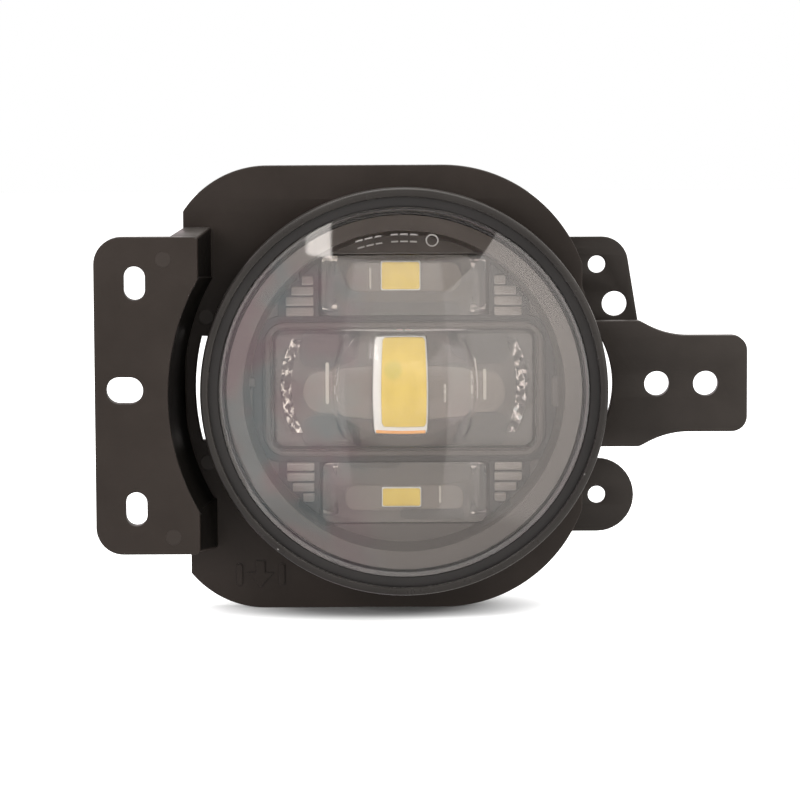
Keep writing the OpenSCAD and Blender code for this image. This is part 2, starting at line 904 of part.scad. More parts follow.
module knob_clip() color(steel) {
    difference() {
        tube_y(knob_neck_r + 1.6, knob_neck_r - 0.8, clip_y, clip_y + 1, 0, rod_z);
        translate([-1.5, clip_y - cut, rod_z - 2 * knob_neck_r])
            cube([3, 1 + 2 * cut, 2 * knob_neck_r]);
    }
}

mounting_plate();
side_arm();
ear_plate();
stack_spacers();
stack_screws();
pivot_bushes();
bezel_ring();
lens();
lens_seal();
inner_trim();
centre_optic();
upper_optic();
lower_optic();
centre_led();
upper_led();
lower_led();
led_board();
board_screws();
thermal_pad();
feed_wires();
lamp_housing();
driver_board();
cover_seal();
rear_cover();
cover_screws();
breather_plug();
connector_inlet();
connector_pins();
pivot_pins();
ball_socket();
adjuster_rod();
adjuster_knob();
knob_clip();
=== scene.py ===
import math

import bmesh
import bpy
import numpy as np
from mathutils import Matrix, Vector


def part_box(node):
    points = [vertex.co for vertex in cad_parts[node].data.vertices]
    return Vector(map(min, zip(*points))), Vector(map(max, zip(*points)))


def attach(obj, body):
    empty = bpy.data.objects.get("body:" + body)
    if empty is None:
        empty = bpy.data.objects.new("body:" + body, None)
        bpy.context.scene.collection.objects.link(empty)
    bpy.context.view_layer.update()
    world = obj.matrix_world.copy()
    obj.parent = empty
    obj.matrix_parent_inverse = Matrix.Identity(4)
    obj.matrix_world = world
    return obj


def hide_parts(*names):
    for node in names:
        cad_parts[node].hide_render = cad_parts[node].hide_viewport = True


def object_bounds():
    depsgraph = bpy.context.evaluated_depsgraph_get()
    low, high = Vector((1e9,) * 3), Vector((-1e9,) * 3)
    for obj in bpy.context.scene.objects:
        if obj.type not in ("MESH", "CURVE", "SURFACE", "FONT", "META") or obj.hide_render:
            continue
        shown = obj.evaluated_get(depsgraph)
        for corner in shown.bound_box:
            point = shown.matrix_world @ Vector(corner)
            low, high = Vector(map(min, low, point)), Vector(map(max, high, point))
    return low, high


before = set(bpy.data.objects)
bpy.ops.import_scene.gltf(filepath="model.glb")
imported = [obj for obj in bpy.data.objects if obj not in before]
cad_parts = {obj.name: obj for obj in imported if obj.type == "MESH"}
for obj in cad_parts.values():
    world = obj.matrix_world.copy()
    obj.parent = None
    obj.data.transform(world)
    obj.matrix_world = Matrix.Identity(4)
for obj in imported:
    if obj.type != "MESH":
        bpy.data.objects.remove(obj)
cad_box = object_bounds()
scene = bpy.context.scene
MM = 0.001


# ---- Camera ----
# A long lens, level with the lamp and a little above it, so the round ring
# stays round and the plates behind it show at nearly the same size.
view_tilt = math.radians(5.3)
view_roll = math.radians(0.26)
view_distance = 0.906
ring_low, ring_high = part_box("bezel_ring")
aim = Vector((-1.05 * MM, ring_low.y + 1.5 * MM, -1.8 * MM))
camera_data = bpy.data.cameras.new("camera")
camera_data.lens = 163.1
camera_data.sensor_width = 36
camera_data.clip_start = 0.01
camera = bpy.data.objects.new("camera", camera_data)
camera.location = aim + view_distance * Vector((0, -math.cos(view_tilt), math.sin(view_tilt)))
turn = Matrix.Rotation(math.radians(90) - view_tilt, 3, "X") @ Matrix.Rotation(-view_roll, 3, "Z")
camera.rotation_euler = turn.to_euler()
scene.collection.objects.link(camera)
scene.camera = camera
scene.view_settings.view_transform = "Standard"
scene.view_settings.look = "None"
scene.cycles.use_denoising = True
scene.cycles.max_bounces = 16
scene.cycles.transmission_bounces = 14
scene.cycles.transparent_max_bounces = 16
scene.cycles.caustics_reflective = False
scene.cycles.caustics_refractive = False


# ---- Studio ----
# A white floor under the bracket's lower edge in a white room. What gloss meets round the
# lamp is a soft box on the right, a tinted screen on the left and a black screen overhead.
def add(tree, kind, inputs=None, **settings):
    """Adds a shader node, sets its settings and the plain values of its inputs, and returns it."""
    made = tree.nodes.new(kind)
    for key, value in settings.items():
        setattr(made, key, value)
    for key, value in (inputs or {}).items():
        made.inputs[key].default_value = value
    return made


def sums(tree, operation, first, second=0.0, clamp=False):
    """A Math node on two sockets or numbers; returns its output."""
    made = add(tree, "ShaderNodeMath", operation=operation, use_clamp=clamp)
    for place, value in enumerate((first, second)):
        if isinstance(value, (int, float)):
            made.inputs[place].default_value = value
        else:
            tree.links.new(value, made.inputs[place])
    return made.outputs[0]


def product(tree, first, *others):
    """All the values multiplied together."""
    for other in others:
        first = sums(tree, "MULTIPLY", first, other)
    return first


def stretch(tree, value, low, high, to_low=0.0, to_high=1.0):
    """Maps value from low..high onto to_low..to_high with a soft step at both ends."""
    made = add(tree, "ShaderNodeMapRange", interpolation_type="SMOOTHSTEP",
               inputs={1: low, 2: high, 3: to_low, 4: to_high})
    tree.links.new(value, made.inputs["Value"])
    return made.outputs[0]


def blend_colours(tree, factor, first, second):
    """Mixes two colours, each a socket or an RGB triple, by the socket factor."""
    made = add(tree, "ShaderNodeMix", data_type="RGBA")
    for place, value in ((0, factor), (6, first), (7, second)):
        if isinstance(value, tuple):
            made.inputs[place].default_value = (*value, 1)
        else:
            tree.links.new(value, made.inputs[place])
    return made.outputs[2]


# A contact shadow is painted on the floor: its colour and glow darken towards the middle of the bracket's
# foot
floor_mesh = bpy.data.meshes.new("floor")
floor_half = 3.0
floor_gap = 0.05 * MM
foot_x, foot_squeeze = -0.008, 1.6
shade_near, shade_far, glow_far = 0.014, 0.055, 0.062
floor_z = cad_box[0].z - floor_gap
floor_mesh.from_pydata(
    [(-floor_half, -floor_half, floor_z), (floor_half, -floor_half, floor_z),
     (floor_half, floor_half, floor_z), (-floor_half, floor_half, floor_z)], [], [(0, 1, 2, 3)])
floor = bpy.data.objects.new("floor", floor_mesh)
scene.collection.objects.link(floor)
floor_finish = bpy.data.materials.new("white_floor")
floor_finish.use_nodes = True
floor_shader = floor_finish.node_tree.nodes["Principled BSDF"]
floor_shader.inputs["Roughness"].default_value = 0.9
floor_shader.inputs["Specular IOR Level"].default_value = 0.1
floor_tree = floor_finish.node_tree
reach = add(floor_tree, "ShaderNodeVectorMath", operation="LENGTH")
around_foot = add(floor_tree, "ShaderNodeMapping",
                  {"Location": (-foot_x, 0.0, 0.0), "Scale": (1.0, foot_squeeze, 0.0)})
floor_tree.links.new(add(floor_tree, "ShaderNodeTexCoord").outputs["Object"],
                     around_foot.inputs["Vector"])
floor_tree.links.new(around_foot.outputs["Vector"], reach.inputs[0])
floor_tree.links.new(stretch(floor_tree, reach.outputs["Value"], shade_near, glow_far, 0.0, 0.9),
                     floor_shader.inputs["Emission Color"])
floor_shader.inputs["Emission Strength"].default_value = 1.0
floor_tree.links.new(stretch(floor_tree, reach.outputs["Value"], shade_near, shade_far, 0.4, 0.86),
                     floor_shader.inputs["Base Color"])
floor_mesh.materials.append(floor_finish)
floor.visible_glossy = False
floor.visible_transmission = False

world = bpy.data.worlds.new("white_room")
world.use_nodes = True
scene.world = world
room = world.node_tree
room.nodes.clear()
way = add(room, "ShaderNodeSeparateXYZ")
room.links.new(add(room, "ShaderNodeTexCoord").outputs["Generated"], way.inputs[0])

# Angles in degrees: azimuth from straight in front, positive to the right, and elevation above
# level. Above bend_at, the soft box's left edge and the left screen's right edge lean outwards.
degrees = 180 / math.pi
bend_at = 29.0
box_edge, box_lean = 14.5, 1.65
screen_edge, screen_lean = -19.5, 0.8
azimuth = sums(room, "ARCTAN2", way.outputs["X"], product(room, way.outputs["Y"], -1))
azimuth = product(room, azimuth, degrees)
elevation = product(room, sums(room, "ARCSINE", way.outputs["Z"]), degrees)
above = sums(room, "MAXIMUM", sums(room, "SUBTRACT", elevation, bend_at))
box_line = sums(room, "ADD", product(room, above, box_lean), box_edge)
right_of = sums(room, "SUBTRACT", azimuth, box_line)
screen_line = sums(room, "SUBTRACT", screen_edge, product(room, above, screen_lean))
left_of = sums(room, "SUBTRACT", screen_line, azimuth)


def between_angles(value, low, high, soft):
    """1 where value lies between low and high, falling to 0 over soft degrees outside."""
    rise = stretch(room, value, low - soft, low)
    fall = stretch(room, value, high, high + soft, 1.0, 0.0)
    return sums(room, "MULTIPLY", rise, fall)


soft_box = product(room, stretch(room, right_of, -0.4, 0.8),
                   product(room, between_angles(elevation, -42.0, 60.0, 6.0),
                           between_angles(azimuth, -10.0, 84.0, 8.0)),
                   stretch(room, elevation, -40.0, 35.0, 0.7, 1.25))
left_screen = product(room, stretch(room, left_of, -0.4, 0.8),
                      between_angles(elevation, -30.0, 40.0, 12.0))
front_strip = product(room, between_angles(azimuth, -19.0, 14.0, 2.0),
                      between_angles(elevation, 8.0, 39.0, 9.0))

# Overhead, a black screen, and to its left a narrow bright lamp beyond a slanting edge
screen_foot, screen_top = 40.0, 74.0
gap_lean, gap_edge = -0.5, 29.5
left_gap = sums(room, "SUBTRACT", product(room, sums(room, "SUBTRACT", elevation, screen_foot), gap_lean),
                sums(room, "ADD", azimuth, gap_edge))
overhead = product(room, stretch(room, elevation, 39.5, 41.0), stretch(room, right_of, 0.3, -0.8),
                   between_angles(elevation, screen_foot, screen_top, 3.0),
                   stretch(room, left_gap, 1.0, -1.0))
left_lamp = product(room, stretch(room, left_gap, 0.0, 1.5), stretch(room, left_gap, 13.0, 11.0),
                    between_angles(elevation, 40.5, 56.0, 1.0))

room_level, box_level, strip_level, screen_level, lamp_level = 1.05, 0.84, 0.7, 0.42, 5.0
screen_black = 0.985
light = sums(room, "ADD", room_level, product(room, soft_box, box_level))
light = sums(room, "ADD", light, product(room, front_strip, strip_level))
light = sums(room, "ADD", light, product(room, left_screen, screen_level))
light = product(room, light, sums(room, "SUBTRACT", 1.0, product(room, overhead, screen_black)))
light = sums(room, "ADD", light, product(room, left_lamp, lamp_level))

# The camera sees plain white, gloss mirrors the screens, and everything else gets an even fill
rays = add(room, "ShaderNodeLightPath")
seen = add(room, "ShaderNodeBackground", {"Color": (1, 1, 1, 1), "Strength": 1.0})
fill = add(room, "ShaderNodeBackground", {"Color": (1, 0.985, 0.97, 1), "Strength": 0.62})
mirrored = add(room, "ShaderNodeBackground")
room.links.new(light, mirrored.inputs["Strength"])
hue = add(room, "ShaderNodeTexNoise", {"Scale": 3.4, "Detail": 2.0})
room.links.new(add(room, "ShaderNodeTexCoord").outputs["Generated"], hue.inputs["Vector"])
tinted = add(room, "ShaderNodeValToRGB")
tinted.color_ramp.elements[0].position = 0.38
tinted.color_ramp.elements[0].color = (1.0, 0.77, 0.82, 1)
tinted.color_ramp.elements[1].position = 0.62
tinted.color_ramp.elements[1].color = (0.86, 0.94, 0.955, 1)
middle_hue = tinted.color_ramp.elements.new(0.5)
middle_hue.color = (1.0, 0.89, 0.90, 1)
room.links.new(hue.outputs["Fac"], tinted.inputs["Fac"])
on_left = product(room, stretch(room, azimuth, -8.0, -24.0), stretch(room, elevation, 39.0, 33.0))
room.links.new(blend_colours(room, on_left, (1, 0.945, 0.90), tinted.outputs["Color"]),
               mirrored.inputs["Color"])
gloss_pick = add(room, "ShaderNodeMixShader")
camera_pick = add(room, "ShaderNodeMixShader")
room_out = add(room, "ShaderNodeOutputWorld")
room.links.new(rays.outputs["Is Glossy Ray"], gloss_pick.inputs["Fac"])
room.links.new(fill.outputs[0], gloss_pick.inputs[1])
room.links.new(mirrored.outputs[0], gloss_pick.inputs[2])
room.links.new(rays.outputs["Is Camera Ray"], camera_pick.inputs["Fac"])
room.links.new(gloss_pick.outputs[0], camera_pick.inputs[1])
room.links.new(seen.outputs[0], camera_pick.inputs[2])
room.links.new(camera_pick.outputs[0], room_out.inputs["Surface"])


def soft_lamp(name, place, size, power):
    """An oblong soft lamp at place that points at the object and isn't mirrored by gloss."""
    data = bpy.data.lights.new(name, "AREA")
    data.shape = "RECTANGLE"
    data.size, data.size_y = size
    data.energy = power
    made = bpy.data.objects.new(name, data)
    made.location = place
    made.rotation_euler = (-Vector(place)).to_track_quat("-Z", "Y").to_euler()
    made.visible_glossy = False
    made.visible_transmission = False
    scene.collection.objects.link(made)


soft_lamp("top_lamp", (0.02, 0.03, 0.8), (1.0, 0.8), 7)
soft_lamp("right_lamp", (0.7, -0.95, 0.45), (0.5, 0.8), 7)
soft_lamp("left_fill", (-0.42, -0.55, 0.18), (0.3, 0.4), 3)


# ---- Mounting plate ----
# One moulding in black glass-filled nylon: a flat plate round the lamp, a bolt pad
# carried forward on a curved wall, pivot lugs and the adjuster's bracket behind.
def effect(name, inputs, outputs):
    """Starts a shader node group with these number inputs and these outputs, and returns it."""
    made = bpy.data.node_groups.new(name, "ShaderNodeTree")
    for socket, value in inputs.items():
        entry = made.interface.new_socket(socket, in_out="INPUT", socket_type="NodeSocketFloat")
        entry.default_value = value
    for socket, kind in outputs.items():
        made.interface.new_socket(socket, in_out="OUTPUT", socket_type=kind)
    return made, add(made, "NodeGroupInput"), add(made, "NodeGroupOutput")


def noise_on(tree, scale, detail=4.0, roughness=0.55):
    """Noise on Object coordinates; scale is a number or a socket."""
    made = add(tree, "ShaderNodeTexNoise", {"Detail": detail, "Roughness": roughness})
    tree.links.new(add(tree, "ShaderNodeTexCoord").outputs["Object"], made.inputs["Vector"])
    if isinstance(scale, (int, float)):
        made.inputs["Scale"].default_value = scale
    else:
        tree.links.new(scale, made.inputs["Scale"])
    return made.outputs["Fac"]


# Grain: pebbled skin of a moulding, a casting or a coat of paint, and slow tone changes
grain, grain_in, grain_out = effect(
    "surface_grain", {"Scale": 2000.0, "Pebble": 0.5},
    {"Height": "NodeSocketFloat", "Tone": "NodeSocketFloat"})
cells = add(grain, "ShaderNodeTexVoronoi", feature="SMOOTH_F1")
grain.links.new(add(grain, "ShaderNodeTexCoord").outputs["Object"], cells.inputs["Vector"])
grain.links.new(grain_in.outputs["Scale"], cells.inputs["Scale"])
fine = noise_on(grain, grain_in.outputs["Scale"], 3.0)
pebbles = product(grain, cells.outputs["Distance"], grain_in.outputs["Pebble"])
grain.links.new(sums(grain, "ADD", fine, pebbles), grain_out.inputs["Height"])
grain.links.new(stretch(grain, noise_on(grain, 38.0, 5.0), 0.3, 0.7), grain_out.inputs["Tone"])

# Edges: how far the surface bends within a small radius, so edges look rounded and rubbed
wear, wear_in, wear_out = effect(
    "edge_wear", {"Radius": 0.0004, "Amount": 0.4},
    {"Mask": "NodeSocketFloat", "Normal": "NodeSocketVector"})
bent = add(wear, "ShaderNodeBevel", samples=4)
wear.links.new(wear_in.outputs["Radius"], bent.inputs["Radius"])
along = add(wear, "ShaderNodeVectorMath", operation="DOT_PRODUCT")
wear.links.new(bent.outputs[0], along.inputs[0])
wear.links.new(add(wear, "ShaderNodeNewGeometry").outputs["Normal"], along.inputs[1])
rubbed = stretch(wear, along.outputs["Value"], 0.99, 0.80)
broken = stretch(wear, noise_on(wear, 420.0, 6.0, 0.7), 0.35, 0.68)
wear.links.new(sums(wear, "MULTIPLY", product(wear, rubbed, broken), wear_in.outputs["Amount"], True),
               wear_out.inputs["Mask"])
wear.links.new(bent.outputs[0], wear_out.inputs["Normal"])

# Dust: a thin film on faces that look up, and a few pale specks anywhere
dust, dust_in, dust_out = effect("dust", {"Film": 0.15, "Specks": 0.4}, {"Mask": "NodeSocketFloat"})
split = add(dust, "ShaderNodeSeparateXYZ")
dust.links.new(add(dust, "ShaderNodeNewGeometry").outputs["Normal"], split.inputs[0])
film = product(dust, stretch(dust, split.outputs["Z"], 0.2, 1.0), noise_on(dust, 160.0, 6.0),
               dust_in.outputs["Film"])
spots = add(dust, "ShaderNodeTexVoronoi", {"Scale": 130.0, "Randomness": 1.0})
dust.links.new(add(dust, "ShaderNodeTexCoord").outputs["Object"], spots.inputs["Vector"])
chance = add(dust, "ShaderNodeSeparateColor")
dust.links.new(spots.outputs["Color"], chance.inputs[0])
few = stretch(dust, chance.outputs[0], 0.80, 0.82)
speck = product(dust, stretch(dust, spots.outputs["Distance"], 0.045, 0.02), few, dust_in.outputs["Specks"])
dust.links.new(sums(dust, "MAXIMUM", film, speck), dust_out.inputs["Mask"])


def place_effect(tree, group, **values):
    """Puts a group into a material with its own values."""
    made = add(tree, "ShaderNodeGroup", node_tree=group)
    for key, value in values.items():
        made.inputs[key].default_value = value
    return made


dust_colour = (0.62, 0.60, 0.57)


def finish(name, dark, light, roughness, worn=None, wear_amount=0.0, edge=0.3, dust_film=0.0,
           specks=0.0, grain_scale=2000.0, pebble=0.5, bump=0.12, metallic=0.0, specular=0.5,
           rough_spread=0.12, fleck=0.0):
    """A material from the shared effects: tone between dark and light, worn edges, dust and grain.
    With fleck, the tone changes from dark to light in sharp patches of that noise scale."""
    made = bpy.data.materials.new(name)
    made.use_nodes = True
    tree = made.node_tree
    shader = tree.nodes["Principled BSDF"]
    skin = place_effect(tree, grain, Scale=grain_scale, Pebble=pebble)
    edges = place_effect(tree, wear, Amount=wear_amount, Radius=edge * MM)
    tone = stretch(tree, noise_on(tree, fleck, 2.0), 0.47, 0.56) if fleck else skin.outputs["Tone"]
    colour = blend_colours(tree, tone, dark, light)
    colour = blend_colours(tree, edges.outputs["Mask"], colour, worn or light)
    if dust_film or specks:
        dirt = place_effect(tree, dust, Film=dust_film, Specks=specks)
        colour = blend_colours(tree, dirt.outputs["Mask"], colour, dust_colour)
    tree.links.new(colour, shader.inputs["Base Color"])
    patchy = stretch(tree, noise_on(tree, 70.0, 5.0), 0.3, 0.7,
                     roughness - rough_spread / 2, roughness + rough_spread / 2)
    tree.links.new(patchy, shader.inputs["Roughness"])
    shader.inputs["Metallic"].default_value = metallic
    shader.inputs["Specular IOR Level"].default_value = specular
    dents = add(tree, "ShaderNodeBump", {"Strength": bump, "Distance": 0.1 * MM})
    tree.links.new(skin.outputs["Height"], dents.inputs["Height"])
    tree.links.new(edges.outputs["Normal"], dents.inputs["Normal"])
    tree.links.new(dents.outputs[0], shader.inputs["Normal"])
    return made


def dress(piece, body, slot, material, *nodes):
    """Gives a finished piece its material and its body, and hides the CAD nodes it stands for; slot is not
    used.
    """
    piece.data.materials.clear()
    piece.data.materials.append(material)
    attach(piece, body)
    if nodes:
        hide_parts(*nodes)
    return piece


def repaint(node, material):
    """Gives a CAD node its finish, on its object's own material slots."""
    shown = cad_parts[node]
    for place in shown.material_slots:
        place.link = "OBJECT"
        place.material = material


def grid_faces(rows, columns, close_rows=False, close_columns=False):
    """Four-cornered faces over a grid numbered row by row, closed on itself where asked."""
    r = np.arange(rows if close_rows else rows - 1)
    c = np.arange(columns if close_columns else columns - 1)
    r, c = (part.ravel() for part in np.meshgrid(r, c, indexing="ij"))
    r2, c2 = (r + 1) % rows, (c + 1) % columns
    return np.stack([r * columns + c, r * columns + c2, r2 * columns + c2, r2 * columns + c], axis=1)


def mended(mesh, merge=True, dissolve=False):
    """Merges a mesh's doubles and dissolves faces of no size where asked, and turns its faces outwards."""
    work = bmesh.new()
    work.from_mesh(mesh)
    if merge:
        bmesh.ops.remove_doubles(work, verts=work.verts, dist=1e-7)
    if dissolve:
        bmesh.ops.dissolve_degenerate(work, edges=work.edges, dist=1e-8)
    bmesh.ops.recalc_face_normals(work, faces=work.faces)
    work.to_mesh(mesh)
    work.free()


def stand(name, mesh, smooth_angle=None):
    """Puts a mesh into the scene as an object, smooth up to smooth_angle degrees where that is given."""
    if smooth_angle:
        mesh.shade_smooth()
        mesh.set_sharp_from_angle(angle=math.radians(smooth_angle))
    made = bpy.data.objects.new(name, mesh)
    scene.collection.objects.link(made)
    return made


def piece_from(name, points, faces, smooth_angle=35, caps=()):
    """A mesh object from points in millimetres, with doubles merged and faces turned outwards."""
    mesh = bpy.data.meshes.new(name)
    faces = np.asarray(faces).tolist() + [list(map(int, cap)) for cap in caps]
    mesh.from_pydata((np.asarray(points).reshape(-1, 3) * MM).tolist(), [], faces)
    mended(mesh, dissolve=True)
    return stand(name, mesh, smooth_angle)


def filleted(corners, steps=6):
    """Points of a closed outline with each corner (a, b, radius) replaced by an arc: the arc's
    centre lies on the corner's bisector, one radius from both sides, and is swept in equal steps."""
    corners = np.array(corners, float)
    out = []
    for here, before, after in zip(corners, np.roll(corners, 1, 0), np.roll(corners, -1, 0)):
        if here[2] == 0:
            out.append(here[None, :2])
            continue
        u = (before - here)[:2] / np.linalg.norm((before - here)[:2])
        v = (after - here)[:2] / np.linalg.norm((after - here)[:2])
        half = math.acos(np.clip(u @ v, -1, 1)) / 2
        centre = here[:2] + (u + v) / np.linalg.norm(u + v) * here[2] / math.sin(half)
        first = here[:2] + u * here[2] / math.tan(half) - centre
        last = here[:2] + v * here[2] / math.tan(half) - centre
        start = math.atan2(first[1], first[0])
        sweep = (math.atan2(last[1], last[0]) - start + 3 * math.pi) % (2 * math.pi) - math.pi
        angle = start + sweep * np.linspace(0, 1, steps + 1)
        out.append(centre + here[2] * np.stack([np.cos(angle), np.sin(angle)], axis=1))
    return np.concatenate(out)


def arc(radius, start, end, steps, x=0.0, z=0.0):
    """Points (x, z) on a circle from start to end degrees."""
    t = np.radians(np.linspace(start, end, steps))
    return np.stack([x + radius * np.cos(t), z + radius * np.sin(t)], axis=1)


def round_slot(width, length, x, z, upright):
    """Outline of a round-ended slot, clockwise, so it is a hole in an outline drawn the other way."""
    half = (length - width) / 2
    line = np.concatenate([arc(width / 2, 90, -90, 17, half), arc(width / 2, -90, -270, 17, -half)])
    if upright:
        line = np.stack([-line[:, 1], line[:, 0]], axis=1)
    return line + (x, z)


def pressed(name, outline, holes, y_front, y_back, edge=0.3):
    """A flat plate in the XZ plane between two y values, with holes and edges rounded by edge:
    a filled curve, drawn in by edge and then grown by a round bevel, made a mesh and stood upright."""
    curve = bpy.data.curves.new(name, "CURVE")
    curve.dimensions = "2D"
    curve.fill_mode = "BOTH"
    for line in (outline, *holes):
        spline = curve.splines.new("POLY")
        spline.points.add(len(line) - 1)
        flat = np.zeros((len(line), 4))
        flat[:, :2] = np.asarray(line) * MM
        flat[:, 3] = 1.0
        spline.points.foreach_set("co", flat.ravel())
        spline.use_cyclic_u = True
    curve.extrude = ((y_back - y_front) / 2 - edge) * MM
    curve.bevel_depth = edge * MM
    curve.bevel_resolution = 2
    curve.offset = -edge * MM
    drawn = bpy.data.objects.new(name, curve)
    mesh = bpy.data.meshes.new_from_object(drawn)
    bpy.data.objects.remove(drawn)
    mesh.name = name
    points = np.empty(len(mesh.vertices) * 3)
    mesh.vertices.foreach_get("co", points)
    points = points.reshape(-1, 3)
    y_mid = (y_front + y_back) / 2 * MM
    upright = np.stack([points[:, 0], y_mid - points[:, 2], points[:, 1]], axis=1)
    mesh.vertices.foreach_set("co", upright.ravel())
    mended(mesh)
    mesh.materials.clear()
    return stand(name, mesh, 40)


def swept(outline, t, x=0.0, z=0.0):
    """Points of an outline (radius, y) at each angle t round the Y axis through (x, z):
    x + radius cos t, y, z + radius sin t."""
    radius, y = np.asarray(outline, float).T[:, None, :]
    t = t[:, None]
    across = x + radius * np.cos(t)
    return np.stack([across, np.broadcast_to(y, across.shape), z + radius * np.sin(t)], axis=2)


def end_caps(layers, count):
    """The two end faces of a bar of layers with count points each."""
    return np.arange(count), (layers - 1) * count + np.arange(count)[::-1]


def turned(name, outline, steps=256, centre=(0, 0), closed=True):
    """A turned piece: the outline's points (radius, y) carried right round the Y axis through centre."""
    t = np.linspace(0, 2 * math.pi, steps, endpoint=False)
    return piece_from(name, swept(outline, t, *centre), grid_faces(steps, len(outline), True, closed))


def bent_bar(name, outline, start, end, steps=97):
    """An outline of points (radius, y) carried round the lamp's axis from start to end degrees,
    with both ends closed."""
    n = len(outline)
    return piece_from(name, swept(outline, np.radians(np.linspace(start, end, steps))),
                      grid_faces(steps, n, False, True), caps=end_caps(steps, n))


def rounded_box(x0, x1, z0, z1, radius, steps):
    """Outline (x, z) of an upright rectangle with its corners rounded by radius."""
    return filleted([(x0, z0, radius), (x1, z0, radius), (x1, z1, radius), (x0, z1, radius)], steps)


def lofted_block(name, front, back, y_front, y_back, radius=0.5):
    """A block between two upright rectangles (x0, x1, z0, z1) with rounded edges: six layers, each
    the front or back outline drawn in towards its middle by radius, by 0.3 radius, or not at all."""
    lines = np.stack([rounded_box(*front, radius, 4)] * 3 + [rounded_box(*back, radius, 4)] * 3)
    draw_in = np.array([1, 0.3, 0, 0, 0.3, 1])[:, None, None] * radius
    depth = np.array([y_front, y_front + radius * 0.3, y_front + radius,
                      y_back - radius, y_back - radius * 0.3, y_back])
    middle = lines.mean(1, keepdims=True)
    half = np.abs(lines - middle).max(1, keepdims=True)
    flat = middle + (lines - middle) * (1 - draw_in / half)
    y = np.broadcast_to(depth[:, None], flat.shape[:2])
    layers, count = y.shape
    return piece_from(name, np.stack([flat[..., 0], y, flat[..., 1]], axis=2),
                      grid_faces(layers, count, False, True), caps=end_caps(layers, count))


plate_low, plate_high = (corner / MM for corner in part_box("mounting_plate"))
plate_t = 3.5
plate_root = plate_t - 0.5      # where what stands on the plate's back starts, inside the plate
plate_half = plate_high.z
hole_r, band_r, slot_r = 47.5, 50.5, 53.0
slot_half_h = 13.3
plate_left, plate_left_low, plate_right = -55.8, -54.5, 45.3
corners_left, corners_right = -60.0, 47.4
round_left_low, round_left_top, round_right = 24.5, 25.5, 37.5
pad_half_h = 39.55


def plate_radius(t, inset=0.0):
    """Distance of the plate's outline from the lamp's axis at angle t, drawn in by inset: a
    rectangle with wide round corners, cut off upright at the right and a little aslant at the left."""
    left, right = corners_left + inset, corners_right - inset
    half = plate_half - inset
    rounded = filleted([(left, -half, round_left_low - inset), (right, -half, round_right - inset),
                        (right, half, round_right - inset), (left, half, round_left_top - inset)], 90)
    dense = np.concatenate([rounded + (np.roll(rounded, -1, 0) - rounded) * k / 20 for k in range(20)])
    angle = np.arctan2(dense[:, 1], dense[:, 0])
    order = np.argsort(angle)
    r = np.interp(t, angle[order], np.hypot(*dense[order].T), period=2 * math.pi)
    c, s = np.cos(t), np.sin(t)
    lowered = np.clip(-r * s / pad_half_h, 0, 1)
    edge = np.where(s > 0, plate_left, plate_left + (plate_left_low - plate_left) * lowered)
    r = np.where(c < -0.01, np.minimum(r, (edge + inset) / np.minimum(c, -0.01)), r)
    return np.where(c > 0.01, np.minimum(r, (plate_right - inset) / np.maximum(c, 0.01)), r)


moulded_nylon = finish("moulded_nylon", (0.0145, 0.0110, 0.0090), (0.0195, 0.0150, 0.0125), 0.45,
                       worn=(0.15, 0.14, 0.13), wear_amount=0.35, dust_film=0.12, specks=0.35,
                       grain_scale=1500.0, bump=0.16, specular=0.13)


def plate_piece(piece):
    """A piece of the bracket moulding."""
    return dress(piece, "bracket", "moulded_black", moulded_nylon, "mounting_plate")


plate_turn = np.linspace(-math.pi, math.pi, 1440, endpoint=False)
outline_r = np.maximum(plate_radius(plate_turn), band_r)
plate_line = np.stack([outline_r * np.cos(plate_turn), outline_r * np.sin(plate_turn)], axis=1)
hole_line = arc(hole_r, 360, 0, 241)[:-1]
slot_turn = math.degrees(math.asin(slot_half_h / slot_r))
side_slot = np.concatenate([arc(slot_r, 180 + slot_turn, 180 - slot_turn, 49),
                            arc(band_r, 180 - slot_turn - 0.6, 180 + slot_turn + 0.6, 49)])
plate_piece(pressed("plate_face", plate_line, [hole_line, side_slot], 0.0, plate_t, 0.35))
hub_back = 5.0
plate_piece(turned("plate_hub", filleted([(hole_r, plate_root, 0), (hole_r, hub_back, 0.3),
                                          (band_r, hub_back, 0.3), (band_r, plate_root, 0)], 3)))

# The bolt pad, and the curved wall and two blocks that carry it forward from the plate. The wall
# and the blocks' inner flanks lie in the pad's shade, painted on them as a darker copy of the moulding's
# finish.
pad_left, pad_right = plate_low.x, -50.95
pad_front, pad_back = plate_low.y, plate_low.y + 4.0
wall_front_r, wall_back_r, wall_t = 58.6, 55.9, 3.0
relief = math.degrees(math.acos(-pad_right / wall_front_r))
relief_line = [(*point, 0) for point in arc(wall_front_r, 180 + relief, 180 - relief, 61)]
pad_line = filleted([(pad_left, -pad_half_h, 6.8), (pad_right, -pad_half_h, 1.2), *relief_line,
                     (pad_right, pad_half_h, 1.2), (pad_left, pad_half_h, 6.8)], 12)
pad_slots = [round_slot(5.4, 8.4, -66.7, side * 28.1, True) for side in (-1, 1)]
pad_slots.append(round_slot(6.6, 9.2, -69.35, 1.5, False))
plate_piece(pressed("bolt_pad", pad_line, pad_slots, pad_front, pad_back, 0.35))
flank_painted_shade = finish("flank_painted_shade", (0.0035, 0.0030, 0.0026), (0.0055, 0.0048, 0.0042), 0.4,
                     worn=(0.10, 0.09, 0.085), wear_amount=0.3, grain_scale=1500.0, bump=0.1, specular=0.1)
wall_turn = 30.2
draft = (wall_front_r - wall_back_r) / -pad_front
wall_outline = [(wall_back_r - draft * (pad_front + 0.4), pad_front + 0.4), (wall_back_r - 0.25, 3.0),
                (wall_back_r + wall_t, 3.0), (wall_front_r + wall_t, pad_front + 0.5)]
dress(bent_bar("curved_wall", wall_outline, 180 - wall_turn, 180 + wall_turn),
      "bracket", "moulded_black", flank_painted_shade)
